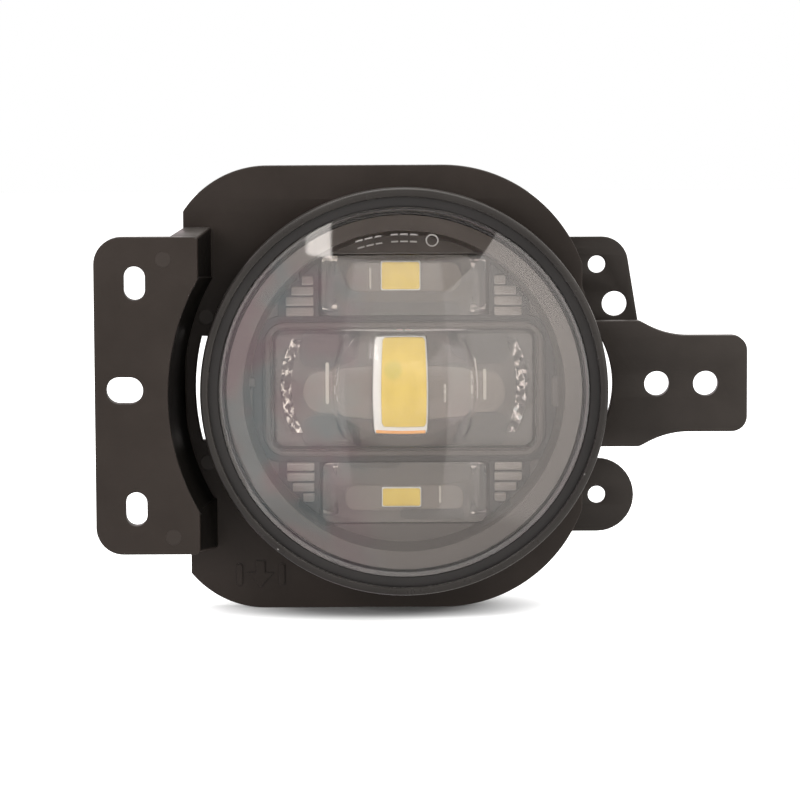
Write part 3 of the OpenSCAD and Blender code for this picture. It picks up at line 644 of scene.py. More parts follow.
for side, word, left, right in ((1, "upper", -55.7, -48.7), (-1, "lower", -54.6, -47.6)):
    front, back = sorted((side * 28.0, side * 39.4)), sorted((side * 28.0, side * 41.0))
    plate_piece(lofted_block(word + "_pad_block", (-58.5, pad_right - 0.1, *front),
                             (left, right - 0.15, *back), pad_back - 1.0, 1.0))
    front, back = sorted((side * 28.1, side * 38.9)), sorted((side * 28.1, side * 40.6))
    dress(lofted_block(word + "_block_flank", (pad_right - 1.2, pad_right, *front),
                       (right - 1.3, right, *back), pad_back - 1.2, 1.1, 0.3),
          "bracket", "moulded_black", flank_painted_shade)

# Stiffening ribs behind the plate's upper and lower edges, following its outline
rib_steps, rib_back, rib_least_r = 161, 6.0, 52.1
for start, end, word in ((38, 152, "top"), (208, 322, "bottom")):
    turn_by = np.radians(np.linspace(start, end, rib_steps))
    outer = plate_radius(turn_by) - 0.25
    inner = np.minimum(np.maximum(plate_radius(turn_by, 2.05), rib_least_r), outer - 0.5)
    r = np.stack([outer, outer, inner, inner], axis=1)
    y = np.broadcast_to((plate_root, rib_back, rib_back, plate_root), r.shape)
    points = np.stack([r * np.cos(turn_by)[:, None], y, r * np.sin(turn_by)[:, None]], axis=2)
    plate_piece(piece_from(word + "_rib", points, grid_faces(rib_steps, 4, False, True),
                           caps=end_caps(rib_steps, 4)))

# Pivot lugs at both sides, each a web on the hub's line and an eye round the pivot bush
lug_y, lug_half, lug_back = 13.5, 12.0, 17.3
eye_r, eye_outer, eye_steps = 3.85, 5.7, 64
lug_outline = filleted([(hole_r + 0.1, plate_root, 0), (hole_r + 0.1, lug_back, 0.3),
                        (band_r, lug_back, 0.3), (band_r, plate_root, 0)], 3)
eye_outline = filleted([(eye_r, 47.2, 0.1), (eye_outer, 47.2, 0.3),
                        (eye_outer, 50.8, 0.3), (eye_r, 50.8, 0.1)], 3)
eye_turn = np.linspace(0, 2 * math.pi, eye_steps, endpoint=False)
for middle, sign, word in ((0, 1, "right"), (180, -1, "left")):
    plate_piece(bent_bar(word + "_lug_web", lug_outline, middle - lug_half, middle + lug_half, 33))
    points = swept(eye_outline, eye_turn)[..., (1, 0, 2)] * (sign, 1, 1) + (0, lug_y, 0)
    plate_piece(piece_from(word + "_lug_eye", points, grid_faces(eye_steps, len(eye_outline), True, True)))

# Screw bosses for the stacked plates, and the wall with two gussets that holds the aiming screw
boss_x, boss_z = 37.0, 37.52
boss_outline = filleted([(2.75, plate_root, 0), (2.75, 7.0, 0.2), (4.5, 7.0, 0.3), (4.5, plate_root, 0)], 3)
for side, word in ((-1, "lower"), (1, "upper")):
    plate_piece(turned(word + "_screw_boss", boss_outline, 64, (boss_x, side * boss_z)))
wall_foot, wall_top, adjuster_z, adjuster_hole_r = -56.0, -41.0, -48.0, 4.46
wall_hole = arc(adjuster_hole_r, 360, 0, 65, 0, adjuster_z)[:-1]
wall_line = filleted([(-12, wall_foot, 0.8), (12, wall_foot, 0.8),
                      (12, wall_top, 2.0), (-12, wall_top, 2.0)], 6)
adjuster_wall_front, adjuster_wall_back = 32.5, 35.5
plate_piece(pressed("adjuster_wall", wall_line, [wall_hole], adjuster_wall_front, adjuster_wall_back, 0.3))
for side, word in ((-1, "left"), (1, "right")):
    gusset = (side * 10.5 - 1.5, side * 10.5 + 1.5, wall_foot, -47.5)
    plate_piece(lofted_block(word + "_gusset", gusset, gusset, plate_root, adjuster_wall_front + 0.5, 0.4))

# Raised marks on the front: an arrow between two bars, and four ejector pin discs
arrow_x, arrow_z, arrow_size = -36.8, -47.8, 1.25
raised = {"y_front": -0.45, "y_back": 0.4, "edge": 0.12}
arrow_line = np.array([(-2.6, 0.4), (0, -2.6), (2.6, 0.4), (0.9, 0.4), (0.9, 2.8), (-0.9, 2.8), (-0.9, 0.4)])
plate_piece(pressed("arrow_mark", arrow_line * arrow_size + (arrow_x, arrow_z), [], **raised))
for side, word in ((-1, "left"), (1, "right")):
    bar_line = round_slot(1.5, 5.6, arrow_x + side * 5.4, arrow_z, True)[::-1]
    plate_piece(pressed(word + "_arrow_bar", bar_line, [], **raised))
ejector_skin = finish("ejector_skin", (0.018, 0.0140, 0.0117), (0.023, 0.0180, 0.0153), 0.36, bump=0.06,
                      specular=0.17)
ejector_places = ((-59.5, 34.0, pad_front), (-57.5, -35.2, pad_front),
                  (-50.2, 18.1, 0.0), (-50.0, -19.0, 0.0))
for number, (x_at, z_at, y_at) in enumerate(ejector_places):
    disc = [(0, y_at - 0.06), (1.9, y_at - 0.06), (2.05, y_at + 0.1), (0, y_at + 0.1)]
    dress(turned(f"ejector_mark_{number + 1}", disc, 48, (x_at, z_at), closed=False),
          "bracket", "moulded_black", ejector_skin)


# ---- Side arm and ear plate ----
# Two steel pressings, laser cut and powder coated satin black, clamped behind
# the plate at different depths by the two long screws.
powder_coat = finish("powder_coat", (0.0150, 0.0120, 0.0100), (0.0205, 0.0165, 0.0140), 0.42,
                     worn=(0.26, 0.24, 0.22), wear_amount=0.4, dust_film=0.1, specks=0.6,
                     grain_scale=900.0, pebble=0.9, bump=0.2, specular=0.18)


def flat_outlines(node, y):
    """Outlines (x, z) in millimetres of a CAD node's flat face at y, the longest first: the
    edges that only one of the face's triangles uses, followed from end to end."""
    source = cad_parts[node].data
    points = np.empty(len(source.vertices) * 3)
    source.vertices.foreach_get("co", points)
    points = points.reshape(-1, 3) / MM
    corners = np.empty(len(source.loops), int)
    source.loops.foreach_get("vertex_index", corners)
    place, same = np.unique(points.round(4), axis=0, return_inverse=True)
    tris = same.ravel()[corners].reshape(-1, 3)
    tris = tris[(np.abs(place[tris][..., 1] - y) < 1e-3).all(1)]
    edges = np.concatenate([tris[:, (0, 1)], tris[:, (1, 2)], tris[:, (2, 0)]])
    code = edges[:, 0] * len(place) + edges[:, 1]
    back = edges[:, 1] * len(place) + edges[:, 0]
    following = dict(edges[~np.isin(code, back)].tolist())
    lines = []
    while following:
        first, at = following.popitem()
        line = [first]
        while at != first:
            line.append(at)
            at = following.pop(at)
        lines.append(place[line][:, (0, 2)])
    lines.sort(key=lambda line: -np.hypot(*(line - np.roll(line, 1, 0)).T).sum())
    return lines


for node in ("side_arm", "ear_plate"):
    low, high = (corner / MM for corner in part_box(node))
    outline, *holes = flat_outlines(node, low.y)
    dress(pressed(node + "_pressing", outline, holes, low.y, high.y, 0.25), "bracket", "sheet_black",
          powder_coat, node)


# ---- Spacers and clamping screws ----
# Turned steel tubes and M5 socket screws, bright zinc plated.
zinc = finish("zinc_plate", (0.52, 0.52, 0.53), (0.66, 0.66, 0.64), 0.3, worn=(0.8, 0.8, 0.8),
              wear_amount=0.4, dust_film=0.15, specks=0.1, grain_scale=700.0, bump=0.05, metallic=1.0)
for node in ("stack_spacers", "stack_screws"):
    repaint(node, zinc)


# ---- Pivots ----
# The lamp tilts on two pressed steel pins, which turn in natural nylon bushes in the plate's lugs.
natural_nylon = finish("natural_nylon", (0.66, 0.63, 0.55), (0.76, 0.73, 0.65), 0.42, worn=(0.85, 0.83, 0.78),
                       wear_amount=0.2, dust_film=0.1, specks=0.1, grain_scale=1200.0, bump=0.05)
repaint("pivot_bushes", natural_nylon)
repaint("pivot_pins", zinc)


# ---- Aiming screw ----
# A ball-ended steel rod in a nylon socket below the lamp, drawn back and forth
# by a captive moulded knob with finger grooves, held by a spring clip.
repaint("ball_socket", natural_nylon)
repaint("adjuster_rod", zinc)
knob_plastic = finish("knob_plastic", (0.018, 0.016, 0.015), (0.028, 0.025, 0.023), 0.42,
                      worn=(0.14, 0.13, 0.12), wear_amount=0.5, dust_film=0.12, specks=0.2, bump=0.08)
repaint("adjuster_knob", knob_plastic)
repaint("knob_clip", zinc)


# ---- Bezel ring ----
# A turned-looking moulded ring pressed over the housing's flange. Its narrow front face
# has rounded edges and stands proud of the lens, and a lip inside it covers the lens flange.
ring_outer = ring_high.x / MM
ring_front = ring_low.y / MM
ring_back = ring_high.y / MM
ring_wall = 2.0
ring_outline = filleted([
    (ring_outer - 0.15, ring_front, 0.8), (ring_outer, ring_front + 2.2, 0.4),
    (ring_outer, ring_back - 2.6, 0.2), (ring_outer - 0.35, ring_back - 2.3, 0.15),
    (ring_outer - 0.35, ring_back, 0.3),
    (ring_outer - ring_wall, ring_back, 0.2), (ring_outer - ring_wall, ring_front + 1.4, 0.3),
    (ring_outer - ring_wall - 0.25, ring_front, 0.5)])
ring_plastic = finish("ring_plastic", (0.011, 0.0095, 0.0085), (0.016, 0.014, 0.0125), 0.28,
                      worn=(0.14, 0.13, 0.125), wear_amount=0.35, dust_film=0.08, specks=0.2, bump=0.05,
                      specular=0.26)
dress(turned("bezel_ring_finished", ring_outline), "lamp", "ring_black", ring_plastic, "bezel_ring")
lip_outer, lip_r = ring_outer - ring_wall + 0.1, 46.5
lip_front, lip_back = -14.8, -14.15
lip_outline = filleted([(lip_outer, lip_front, 0), (lip_outer, lip_back, 0), (lip_r, lip_back, 0.1),
                        (lip_r, lip_front, 0.2)])
# The lip is painted shade: a darker copy of the ring's plastic, for the shade in the groove round the lens.
lip_painted_shade = finish("lip_painted_shade", (0.009, 0.0082, 0.008), (0.013, 0.0118, 0.0115), 0.36, bump=0.02,
                   specular=0.3)
dress(turned("ring_lip", lip_outline), "lamp", "ring_black", lip_painted_shade)


# ---- Lens ----
# A clear polycarbonate dome of even wall, hard coated. Its flat flange lies under the ring's
# lip on the seal, and a row of small raised marks is moulded inside its upper edge.
lens_low, lens_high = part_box("lens")
lens_r = lens_high.x / MM
dome_r = 46.25
lens_front, lens_back = lens_low.y / MM, lens_high.y / MM
lens_wall = 3.0
rim_front = lens_back - lens_wall
dome_rise = rim_front - 0.8 - lens_front
sphere_r = (dome_r ** 2 + dome_rise ** 2) / (2 * dome_rise)
sphere_y = lens_front + sphere_r
inner_r = sphere_r - lens_wall
inner_edge = dome_r - 2.4


def dome_line(radius, edge, steps):
    """Points (r, y) of a circle's front part about the sphere's centre, from r = edge to the axis."""
    r = edge * np.sin(np.linspace(math.pi / 2, 0, steps))
    return np.stack([r, sphere_y - np.sqrt(radius ** 2 - r ** 2)], axis=1)


flange_front = lens_back - 1.5
rim_line = filleted([
    (dome_r, rim_front - 0.6, 0.0), (dome_r, flange_front, 0.2), (lens_r, flange_front, 0.3),
    (lens_r, lens_back, 0.3), (inner_edge + 0.6, lens_back, 0.4), (inner_edge, lens_back - 0.8, 0.0)])
lens_outline = np.concatenate([dome_line(sphere_r, dome_r, 48)[::-1], rim_line[1:],
                               dome_line(inner_r, inner_edge, 40)])


def clear_finish(name, tint, ior, roughness, shade, haze=0.0):
    """Clear plastic that lets lamps through to what it covers, as a lamp's real lens does."""
    made = bpy.data.materials.new(name)
    made.use_nodes = True
    tree = made.node_tree
    shader = tree.nodes["Principled BSDF"]
    out = tree.nodes["Material Output"]
    shader.inputs["Base Color"].default_value = (*tint, 1)
    shader.inputs["Transmission Weight"].default_value = 1.0
    shader.inputs["IOR"].default_value = ior
    patchy = stretch(tree, noise_on(tree, 45.0, 4.0), 0.35, 0.75, roughness, roughness + haze)
    tree.links.new(patchy, shader.inputs["Roughness"])
    through = add(tree, "ShaderNodeBsdfTransparent", {"Color": (*shade, 1)})
    path = add(tree, "ShaderNodeLightPath")
    dim = sums(tree, "MAXIMUM", path.outputs["Is Shadow Ray"], path.outputs["Is Diffuse Ray"])
    mix = add(tree, "ShaderNodeMixShader")
    tree.links.new(dim, mix.inputs["Fac"])
    tree.links.new(shader.outputs[0], mix.inputs[1])
    tree.links.new(through.outputs[0], mix.inputs[2])
    tree.links.new(mix.outputs[0], out.inputs["Surface"])
    return made


lens_clear = clear_finish("lens_clear", (0.95, 0.935, 0.925), 1.58, 0.0, (0.9, 0.89, 0.88))
dress(turned("lens_finished", lens_outline, 288, closed=False), "lamp", "lens_clear", lens_clear, "lens")
mark_frost = finish("mark_frost", (0.20, 0.19, 0.18), (0.28, 0.27, 0.26), 0.5, bump=0.02)
mark_r = 38.4
mark_y = sphere_y - math.sqrt(inner_r ** 2 - mark_r ** 2)
mark_half_w, mark_half_t, mark_row = 0.2, 0.15, 0.9
dash_spans = ((107.5, 104.8), (104.0, 101.2), (100.4, 98.0), (94.6, 92.0), (91.2, 88.4), (87.6, 85.0))
for number, (start, end) in enumerate(dash_spans):
    for row, word in ((-mark_row, "low"), (mark_row, "high")):
        near, far = mark_r + row - mark_half_w, mark_r + row + mark_half_w
        dash = [(near, mark_y + mark_half_t), (near, mark_y - mark_half_t),
                (far, mark_y - mark_half_t), (far, mark_y + mark_half_t)]
        dress(bent_bar(f"lens_mark_{number + 1}_{word}", dash, start, end, 9),
              "lamp", "trim_grey", mark_frost)
mark_turn = math.radians(79.5)
circle = [(1.25, mark_y - mark_half_t), (1.6, mark_y - mark_half_t),
          (1.6, mark_y + mark_half_t), (1.25, mark_y + mark_half_t)]
dress(turned("lens_mark_ring", circle, 48, (mark_r * math.cos(mark_turn), mark_r * math.sin(mark_turn))),
      "lamp", "trim_grey", mark_frost)


# ---- Lens seal ----
# A flat ring of black silicone squeezed between the lens and the housing's flange.
seal_low, seal_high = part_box("lens_seal")
seal_y = (seal_low.y / MM, seal_high.y / MM)
seal_r = (lens_r - 2.5, lens_r - 0.05)
seal_outline = filleted([(seal_r[1], seal_y[0], 0.3), (seal_r[1], seal_y[1], 0.3),
                         (seal_r[0], seal_y[1], 0.3), (seal_r[0], seal_y[0], 0.3)])
rubber = finish("seal_rubber", (0.02, 0.02, 0.02), (0.035, 0.034, 0.033), 0.75, dust_film=0.1,
                grain_scale=1500.0, bump=0.1)
dress(turned("lens_seal_finished", seal_outline), "lamp", "seal_rubber", rubber, "lens_seal")


# ---- Inner trim ----
# A satin dark grey moulding that hides the board: a shallow bowl with three windows, raised
# frames round them, louvred cheeks beside the outer windows and two small side tabs.
trim_plastic = finish("trim_grey", (0.036, 0.029, 0.025), (0.050, 0.041, 0.036), 0.34,
                      worn=(0.18, 0.16, 0.15), wear_amount=0.25, grain_scale=1600.0, bump=0.05)
repaint("inner_trim", trim_plastic)


def window_path(width, height, radius):
    """Points and outward directions of an upright rounded rectangle round the lamp's axis."""
    w, h = width / 2, height / 2
    ring = filleted([(w, -h, radius), (w, h, radius), (-w, h, radius), (-w, -h, radius)], 8)
    along = np.roll(ring, -1, 0) - np.roll(ring, 1, 0)
    out = np.stack([along[:, 1], -along[:, 0]], axis=1)
    return ring, out / np.linalg.norm(out, axis=1, keepdims=True)


def framed(name, path, outward, outline):
    """A rim carried along a path: each outline point (offset, y) is set off outwards from the path."""
    outline = np.asarray(outline, float)
    flat = path[:, None, :] + outward[:, None, :] * outline[None, :, :1]
    y = np.broadcast_to(outline[None, :, 1], flat.shape[:2])
    points = np.stack([flat[..., 0], y, flat[..., 1]], axis=2)
    return piece_from(name, points, grid_faces(len(path), len(outline), True, True))


def rim_outline(inner, outer, front, back):
    """Closed outline of a rim's cross-section with rounded front edges."""
    return filleted([(inner, back, 0), (inner, front, 0.3), (outer, front, 0.3), (outer, back, 0)], 4)


frame_ring, frame_out = window_path(66.4, 30.4, 3.5)
dress(framed("centre_frame", frame_ring, frame_out, rim_outline(0.2, 1.6, -4.9, -2.0)),
      "lamp", "trim_grey", trim_plastic)
# Painted shade: plates much darker than the trim's plastic, standing for the shade in deep recesses, gaps and
# pockets.
painted_shade_black = finish("painted_shade_black", (0.010, 0.008, 0.007), (0.016, 0.013, 0.012), 0.4, bump=0.04)
outer_ring, outer_out = window_path(70.6, 31.8, 5.0)
dress(framed("centre_recess", outer_ring, outer_out, rim_outline(0.0, 2.6, -3.75, -2.0)),
      "lamp", "trim_grey", painted_shade_black)
tab_gap = 1.16
for name, box in (("right_tab", (36.9, 39.6, -4.7, 2.9)), ("left_tab", (-39.6, -37.2, 0.6, 3.0))):
    tab = rounded_box(*box, 0.5, 5)
    dress(pressed(name, tab, [], -4.3, -2.6, 0.25), "lamp", "trim_grey", trim_plastic)
    # Round each tab lies a darker plate: painted shade in the gap.
    gap = tab.mean(0) + (tab - tab.mean(0)) * tab_gap
    dress(pressed(name + "_gap", gap, [], -3.7, -2.6, 0.1), "lamp", "trim_grey", painted_shade_black)

louvre_in, louvre_out, louvre_reach = 22.6, 29.4, 38.0
louvre_first, louvre_pitch, louvre_gap, louvre_count = 18.4, 2.6, 0.5, 6


def louvres(name, side, up):
    """A cheek of sloping slats beside a window: each slat is a wedge along x, cut off at the bowl."""
    blocks, faces = [], []
    for i in range(louvre_count):
        z0 = louvre_first + i * louvre_pitch
        z1 = z0 + louvre_pitch - louvre_gap
        end = min(louvre_out, math.sqrt(max(louvre_reach ** 2 - z1 ** 2, 0)))
        if end < louvre_in + 1:
            continue
        wedge = np.array([(z0, -1.5), (z0, -4.7), (z0 + 0.25, -5.0),
                          (z1 - 0.25, -4.0), (z1, -3.8), (z1, -1.5)])
        x = np.array([louvre_in, louvre_in + 0.3, end - 0.3, end])
        shrink = np.array([0.85, 1.0, 1.0, 0.85])[:, None]
        middle = wedge.mean(0)
        z = middle[0] + (wedge[:, 0] - middle[0]) * shrink
        y = np.broadcast_to(wedge[:, 1], z.shape)
        points = np.stack([np.broadcast_to(x[:, None] * side, z.shape), y, z * up], axis=2).reshape(-1, 3)
        first = sum(len(b) for b in blocks)
        n = len(wedge)
        faces += (grid_faces(len(x), n, False, True) + first).tolist()
        faces += [(cap + first).tolist() for cap in end_caps(len(x), n)]
        blocks.append(points)
    mesh = bpy.data.meshes.new(name)
    mesh.from_pydata((np.concatenate(blocks) * MM).tolist(), [], faces)
    mended(mesh, merge=False)
    return stand(name, mesh)


# The slats are painted light: a much lighter copy of the trim's plastic, for the light their tops catch.
slat_painted_light = finish("slat_painted_light_grey", (0.15, 0.13, 0.12), (0.20, 0.18, 0.165), 0.3, worn=(0.4, 0.38, 0.36),
                      wear_amount=0.3, grain_scale=1600.0, bump=0.04)
corners = ((-1, 1, "upper_left"), (1, 1, "upper_right"), (-1, -1, "lower_left"), (1, -1, "lower_right"))
for side, up, word in corners:
    dress(louvres(word + "_louvres", side, up), "lamp", "trim_grey", slat_painted_light)
    # Behind each cheek's slats lies a darker plate: painted shade in the pocket.
    cheek = np.array([(21.2, 16.8), (31.4, 16.8), (31.4, 22.6), (21.2, 32.4)]) * (side, up)
    cheek = filleted([(x, z, 0.8) for x, z in (cheek if side * up > 0 else cheek[::-1])], 5)
    dress(pressed(word + "_cheek", cheek, [], -3.7, -2.6, 0.15), "lamp", "trim_grey", painted_shade_black)


# ---- Optics ----
# Three clear acrylic blocks. The wide centre one has a barrel-shaped bulge that magnifies its LED;
# the narrow ones above and below are plain crowned bars. Facets behind their ends sparkle.
def between(name, x, z, front, back, smooth_angle=35):
    """A closed block between two height maps over one grid: front and back are y values at
    (x, z), and the four edges are joined by walls."""
    rows, columns = x.shape
    top = np.stack([x, front, z], axis=2).reshape(-1, 3)
    low = np.stack([x, back, z], axis=2).reshape(-1, 3)
    sheet = grid_faces(rows, columns)
    count = rows * columns
    number = np.arange(count).reshape(rows, columns)
    edge = np.concatenate([number[0, :-1], number[:-1, -1], number[-1, :0:-1], number[:0:-1, 0]])
    after = np.roll(edge, -1)
    walls = np.stack([edge, after, after + count, edge + count], axis=1)
    faces = np.concatenate([sheet, sheet[:, ::-1] + count, walls])
    return piece_from(name, np.concatenate([top, low]), faces, smooth_angle)


def rounded_grid(half_w, half_h, radius, columns, rows, z_mid=0.0):
    """A grid over a rounded rectangle: each row's x runs to the outline's edge at that height."""
    z = np.linspace(-half_h, half_h, rows)
    past = np.clip(np.abs(z) - (half_h - radius), 0, radius)
    reach = half_w - radius + np.sqrt(radius ** 2 - past ** 2)
    u = np.linspace(-1, 1, columns)
    return u[None, :] * reach[:, None], np.broadcast_to(z[:, None], (rows, columns)) + z_mid


optic_low, optic_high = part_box("centre_optic")
optic_half_w, optic_half_h = optic_high.x / MM, optic_high.z / MM
optic_front = optic_low.y / MM
optic_back = 6.9

# The front is the nearer of a bulge, a parabola across and up, and a flatter wing, joined softly
# over edge_soft, with a fine raised ridge along a bowed line beside the bulge.
x, z = rounded_grid(optic_half_w, optic_half_h, 2.5, 321, 121)
bulge_across, bulge_up, edge_soft = 27.0, 17.2, 0.35
bulge = optic_front + x ** 2 / (2 * bulge_across) + z ** 2 / (2 * bulge_up)
wing_back, wing_up = 5.3, 35.0
wing = optic_front + wing_back + z ** 2 / (2 * wing_up)
front = 0.5 * (bulge + wing - np.sqrt((bulge - wing) ** 2 + edge_soft ** 2))
ridge_x, ridge_bow, ridge_rise, ridge_w, ridge_half_h = 17.4, 60.0, 0.7, 0.5, 12.5
ridge = np.abs(x) + z ** 2 / ridge_bow - ridge_x
front = front - ridge_rise * np.exp(-(ridge / ridge_w) ** 2) * np.clip((ridge_half_h - np.abs(z)) / 2, 0, 1)
optic_clear = clear_finish("optic_clear", (0.97, 0.965, 0.95), 1.49, 0.0, (0.93, 0.93, 0.92), 0.01)
dress(between("centre_optic_finished", x, z, front, np.full_like(x, optic_back), 25),
      "lamp", "optic_clear", optic_clear, "centre_optic")


def glint_strip(name, side, reach, width, z_mid, half_h, pitch):
    """A bowed mirror-coated strip of facets. Its outer edge is at reach - u^2 / 40, with u the height
    from its middle. It stands up from a flat back by a triangle wave that slants one way, or by a
    coarser one that slants the other way where that is lower."""
    across, u = np.meshgrid(np.linspace(0, 1, 13), np.linspace(-half_h, half_h, 97))
    x = reach - u ** 2 / 40 - width * (1 - across)
    first = np.abs(((u + 1.1 * width * across) / pitch) % 1 - 0.5)
    second = np.abs(((u - 1.7 * width * across) / (pitch * 1.35) + 0.3) % 1 - 0.5)
    depth = 2.4 * np.minimum(first, second * 1.2)
    dress(between(name, side * x, u + z_mid, 8.2 - depth, np.full_like(x, 8.3), 15),
          "lamp", "zinc_steel", mirror_coat)


mirror_coat = finish("mirror_coat", (0.05, 0.045, 0.04), (0.74, 0.72, 0.70), 0.10, bump=0.01, metallic=1.0,
                     rough_spread=0.06, fleck=520.0)
for side, word in ((-1, "left"), (1, "right")):
    glint_strip(word + "_centre_glints", side, 31.2, 2.8, 0, 10.6, 3.7)
    for up, level in ((1, "upper"), (-1, "lower")):
        glint_strip(f"{word}_{level}_glints", side, 19.3, 2.0, up * 25.8, 6.0, 2.9)

crown_r, end_start, end_fall = 26.0, 17.0, 0.16
for word in ("upper", "lower"):
    low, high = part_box(word + "_optic")
    half_w, half_h = high.x / MM, (high.z - low.z) / 2 / MM
    z_mid = (high.z + low.z) / 2 / MM
    x, z = rounded_grid(half_w, half_h, 2.0, 161, 61, z_mid)
    crown = (z - z_mid) ** 2 / (2 * crown_r)
    front = low.y / MM + crown + np.clip(np.abs(x) - end_start, 0, 9) ** 2 * end_fall
    dress(between(word + "_optic_finished", x, z, front, np.full_like(x, optic_back), 25),
          "lamp", "optic_clear", optic_clear, word + "_optic")


# ---- LEDs ----
# White ceramic packages, each with a rubbery yellow phosphor pad set to one side,
# and a copper-coloured solder edge below.
ceramic = finish("led_ceramic", (0.72, 0.71, 0.71), (0.80, 0.79, 0.79), 0.5, bump=0.03)
phosphor = bpy.data.materials.new("phosphor")
phosphor.use_nodes = True
tree = phosphor.node_tree
shader = tree.nodes["Principled BSDF"]
spread = stretch(tree, noise_on(tree, 260.0, 4.0), 0.3, 0.7)
tone = blend_colours(tree, spread, (0.60, 0.415, 0.03), (0.68, 0.485, 0.055))
away = add(tree, "ShaderNodeVectorMath", operation="DISTANCE")
tree.links.new(add(tree, "ShaderNodeTexCoord").outputs["Object"], away.inputs[0])
away.inputs[1].default_value = Vector((-2.2, 7.2, 2.6)) * MM
die_shows = stretch(tree, away.outputs["Value"], 2.3 * MM, 1.2 * MM, 0.0, 0.75)
tone = blend_colours(tree, die_shows, tone, (0.46, 0.37, 0.01))
tree.links.new(tone, shader.inputs["Base Color"])
tree.links.new(stretch(tree, noise_on(tree, 500.0), 0.3, 0.7, 0.45, 0.6), shader.inputs["Roughness"])
# The phosphor glows faintly in its own colour: painted light, though the LEDs are not lit.
shader.inputs["Emission Strength"].default_value = 0.1
tree.links.new(tone, shader.inputs["Emission Color"])
solder = finish("solder_edge", (0.80, 0.30, 0.05), (0.9, 0.42, 0.1), 0.4, bump=0.05)


def plain_block(name, half_w, half_h, radius, x_mid, z_mid, y_front, y_back, crown=0.05):
    """A thin rounded plate with a slightly crowned front."""
    x, z = rounded_grid(half_w, half_h, radius, 25, 25)
    fall = np.maximum(np.abs(x) / half_w, np.abs(z) / half_h) ** 8
    return between(name, x + x_mid, z + z_mid, y_front + crown * fall, np.full_like(x, y_back))


# The optics hide part of the upper and lower LEDs, so those show from raise_foot to raise_top only
led_x = -0.75
for word, raise_foot, raise_top in (("centre", 0.0, 0.6), ("upper", 2.5, 0.7), ("lower", -0.1, -3.9)):
    low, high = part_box(word + "_led")
    w = (high.x - low.x) / MM
    top, foot = high.z / MM + raise_top, low.z / MM + raise_foot
    h, mid = top - foot, (top + foot) / 2
    base_front, base_back = low.y / MM + 0.35, high.y / MM
    main = word == "centre"
    border_left, border_low, border = (1.7, 1.5, 0.25) if main else (0.25, 0.25, 0.25)
    dress(plain_block(word + "_led_base", w / 2, h / 2, 0.3, led_x, mid, base_front, base_back),
          "lamp", "board_white", ceramic, word + "_led")
    pad_w, pad_h = w - border_left - border, h - border_low - border
    dress(plain_block(word + "_led_phosphor", pad_w / 2, pad_h / 2, 0.4, led_x + (border_left - border) / 2,
                      mid + (border_low - border) / 2, low.y / MM, base_front + 0.02, 0.08),
          "lamp", "phosphor", phosphor)
    if main:
        dress(plain_block("centre_led_solder", w / 2 - 0.3, 0.35, 0.1, led_x, mid - h / 2 + 0.35,
                          base_front - 0.1, base_front + 0.05, 0.02), "lamp", "pin_brass", solder)


# ---- LED board ----
# An aluminium-cored board under a dark solder mask, screwed to the housing's floor over a heat pad.
# Lighter bands (painted light), bars (painted highlights) and black islands (painted shade) on it show
# through the optics, and two red wires pass it.
board_mask = finish("board_mask", (0.040, 0.031, 0.027), (0.060, 0.048, 0.042), 0.35, bump=0.03)
repaint("led_board", board_mask)
board_face = 8.45
# The lighter bands are painted light: plates behind the optics for the light seen round the LEDs.
painted_light_mask = finish("painted_light_mask", (0.12, 0.098, 0.086), (0.16, 0.135, 0.120), 0.4, bump=0.02)
for word, half_w, half_h, z_mid in (
        ("centre", 25.5, 4.6, -1.4), ("upper", 14.5, 3.0, 27.2), ("lower", 15.0, 2.6, -28.2)):
    band = plain_block(word + "_painted_light_band", half_w, half_h, half_h - 0.2, 0, z_mid, 8.22, board_face, 0.02)
    dress(band, "lamp", "board_white", painted_light_mask)
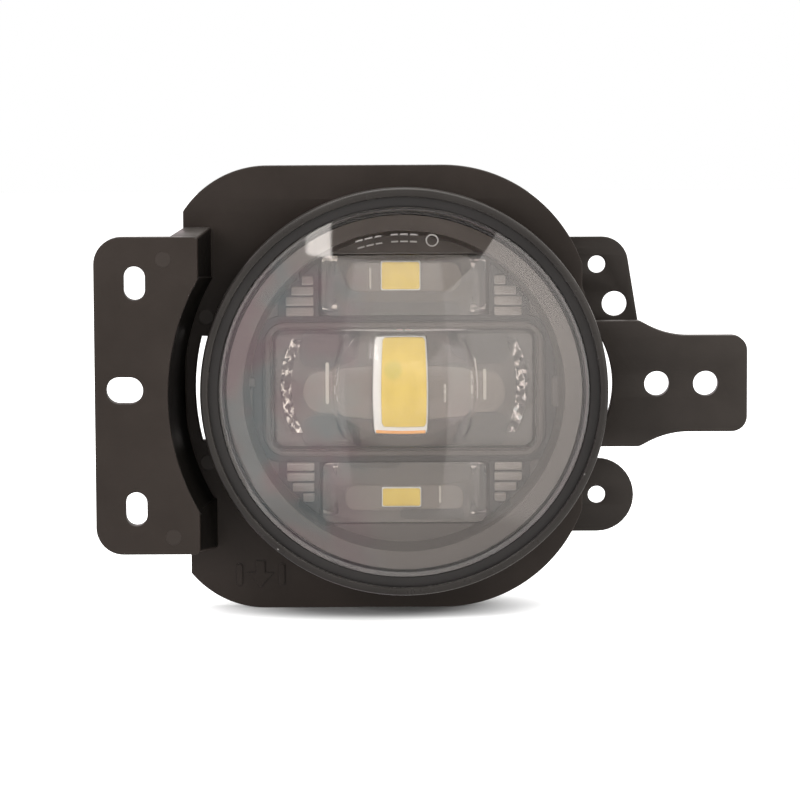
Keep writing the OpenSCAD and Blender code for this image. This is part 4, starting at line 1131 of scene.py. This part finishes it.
# The bars are painted highlights: light metal strips behind the optics where small upright highlights show.
bar_painted_highlight = finish("bar_painted_highlight", (0.40, 0.37, 0.34), (0.50, 0.47, 0.43), 0.3, bump=0.02, metallic=0.3)
bars = ((-19.4, 0.6, 0.45, 4.6), (17.6, 1.6, 0.55, 4.4), (20.4, 0.2, 0.4, 3.4), (8.2, -1.6, 0.25, 1.6),
        (-8.4, 27.0, 0.25, 2.2), (9.0, -27.5, 0.3, 1.8))
for number, (x_mid, z_mid, half_w, half_h) in enumerate(bars):
    bar = plain_block(f"painted_highlight_bar_{number + 1}", half_w, half_h, 0.2, x_mid, z_mid, 8.15, board_face, 0.02)
    dress(bar, "lamp", "board_white", bar_painted_highlight)
# The black islands are painted shade: dark plates behind the optics where dark zones show through them.
islands = ((-18.0, 8.4, 8.4, 4.4), (18.4, 8.8, 8.6, 4.0), (-17.8, -10.2, 8.2, 3.6), (18.8, -9.8, 7.4, 3.8),
           (0.0, 20.6, 14.0, 1.5), (-7.5, -20.5, 6.5, 1.5), (7.0, -31.6, 8.0, 1.1))
for number, (x_mid, z_mid, half_w, half_h) in enumerate(islands):
    island = plain_block(f"painted_shade_island_{number + 1}", half_w, half_h, min(half_h, 3.0) - 0.1, x_mid, z_mid,
                         8.18, board_face, 0.02)
    dress(island, "lamp", "board_white", painted_shade_black)
repaint("board_screws", zinc)
pad_grey = finish("heat_pad", (0.42, 0.47, 0.53), (0.5, 0.54, 0.6), 0.6, bump=0.08)
repaint("thermal_pad", pad_grey)
wire_skin = finish("wire_skin", (0.45, 0.05, 0.04), (0.6, 0.09, 0.07), 0.4, bump=0.03)
repaint("feed_wires", wire_skin)


# ---- Housing ----
# A die-cast aluminium body, black e-coated, with a driver chamber and nine cooling fins.
cast_skin = finish("cast_skin", (0.032, 0.031, 0.031), (0.050, 0.048, 0.047), 0.48, worn=(0.42, 0.42, 0.43),
                   wear_amount=0.45, dust_film=0.18, specks=0.25, grain_scale=1100.0, pebble=1.0, bump=0.3,
                   metallic=0.25)
repaint("lamp_housing", cast_skin)


# ---- Rear cover, driver and plug socket ----
# A moulded cover closes the driver chamber on a rubber cord seal with four screws. It
# carries the breather plug and the two-pin socket that the vehicle's plug goes into.
green_mask = finish("board_green", (0.02, 0.10, 0.04), (0.03, 0.14, 0.06), 0.3, bump=0.04)
repaint("driver_board", green_mask)
repaint("cover_seal", rubber)
repaint("rear_cover", moulded_nylon)
repaint("cover_screws", zinc)
repaint("breather_plug", rubber)
repaint("connector_inlet", knob_plastic)
brass = finish("pin_brass", (0.62, 0.45, 0.18), (0.72, 0.55, 0.26), 0.28, bump=0.03,
               metallic=1.0)
repaint("connector_pins", brass)
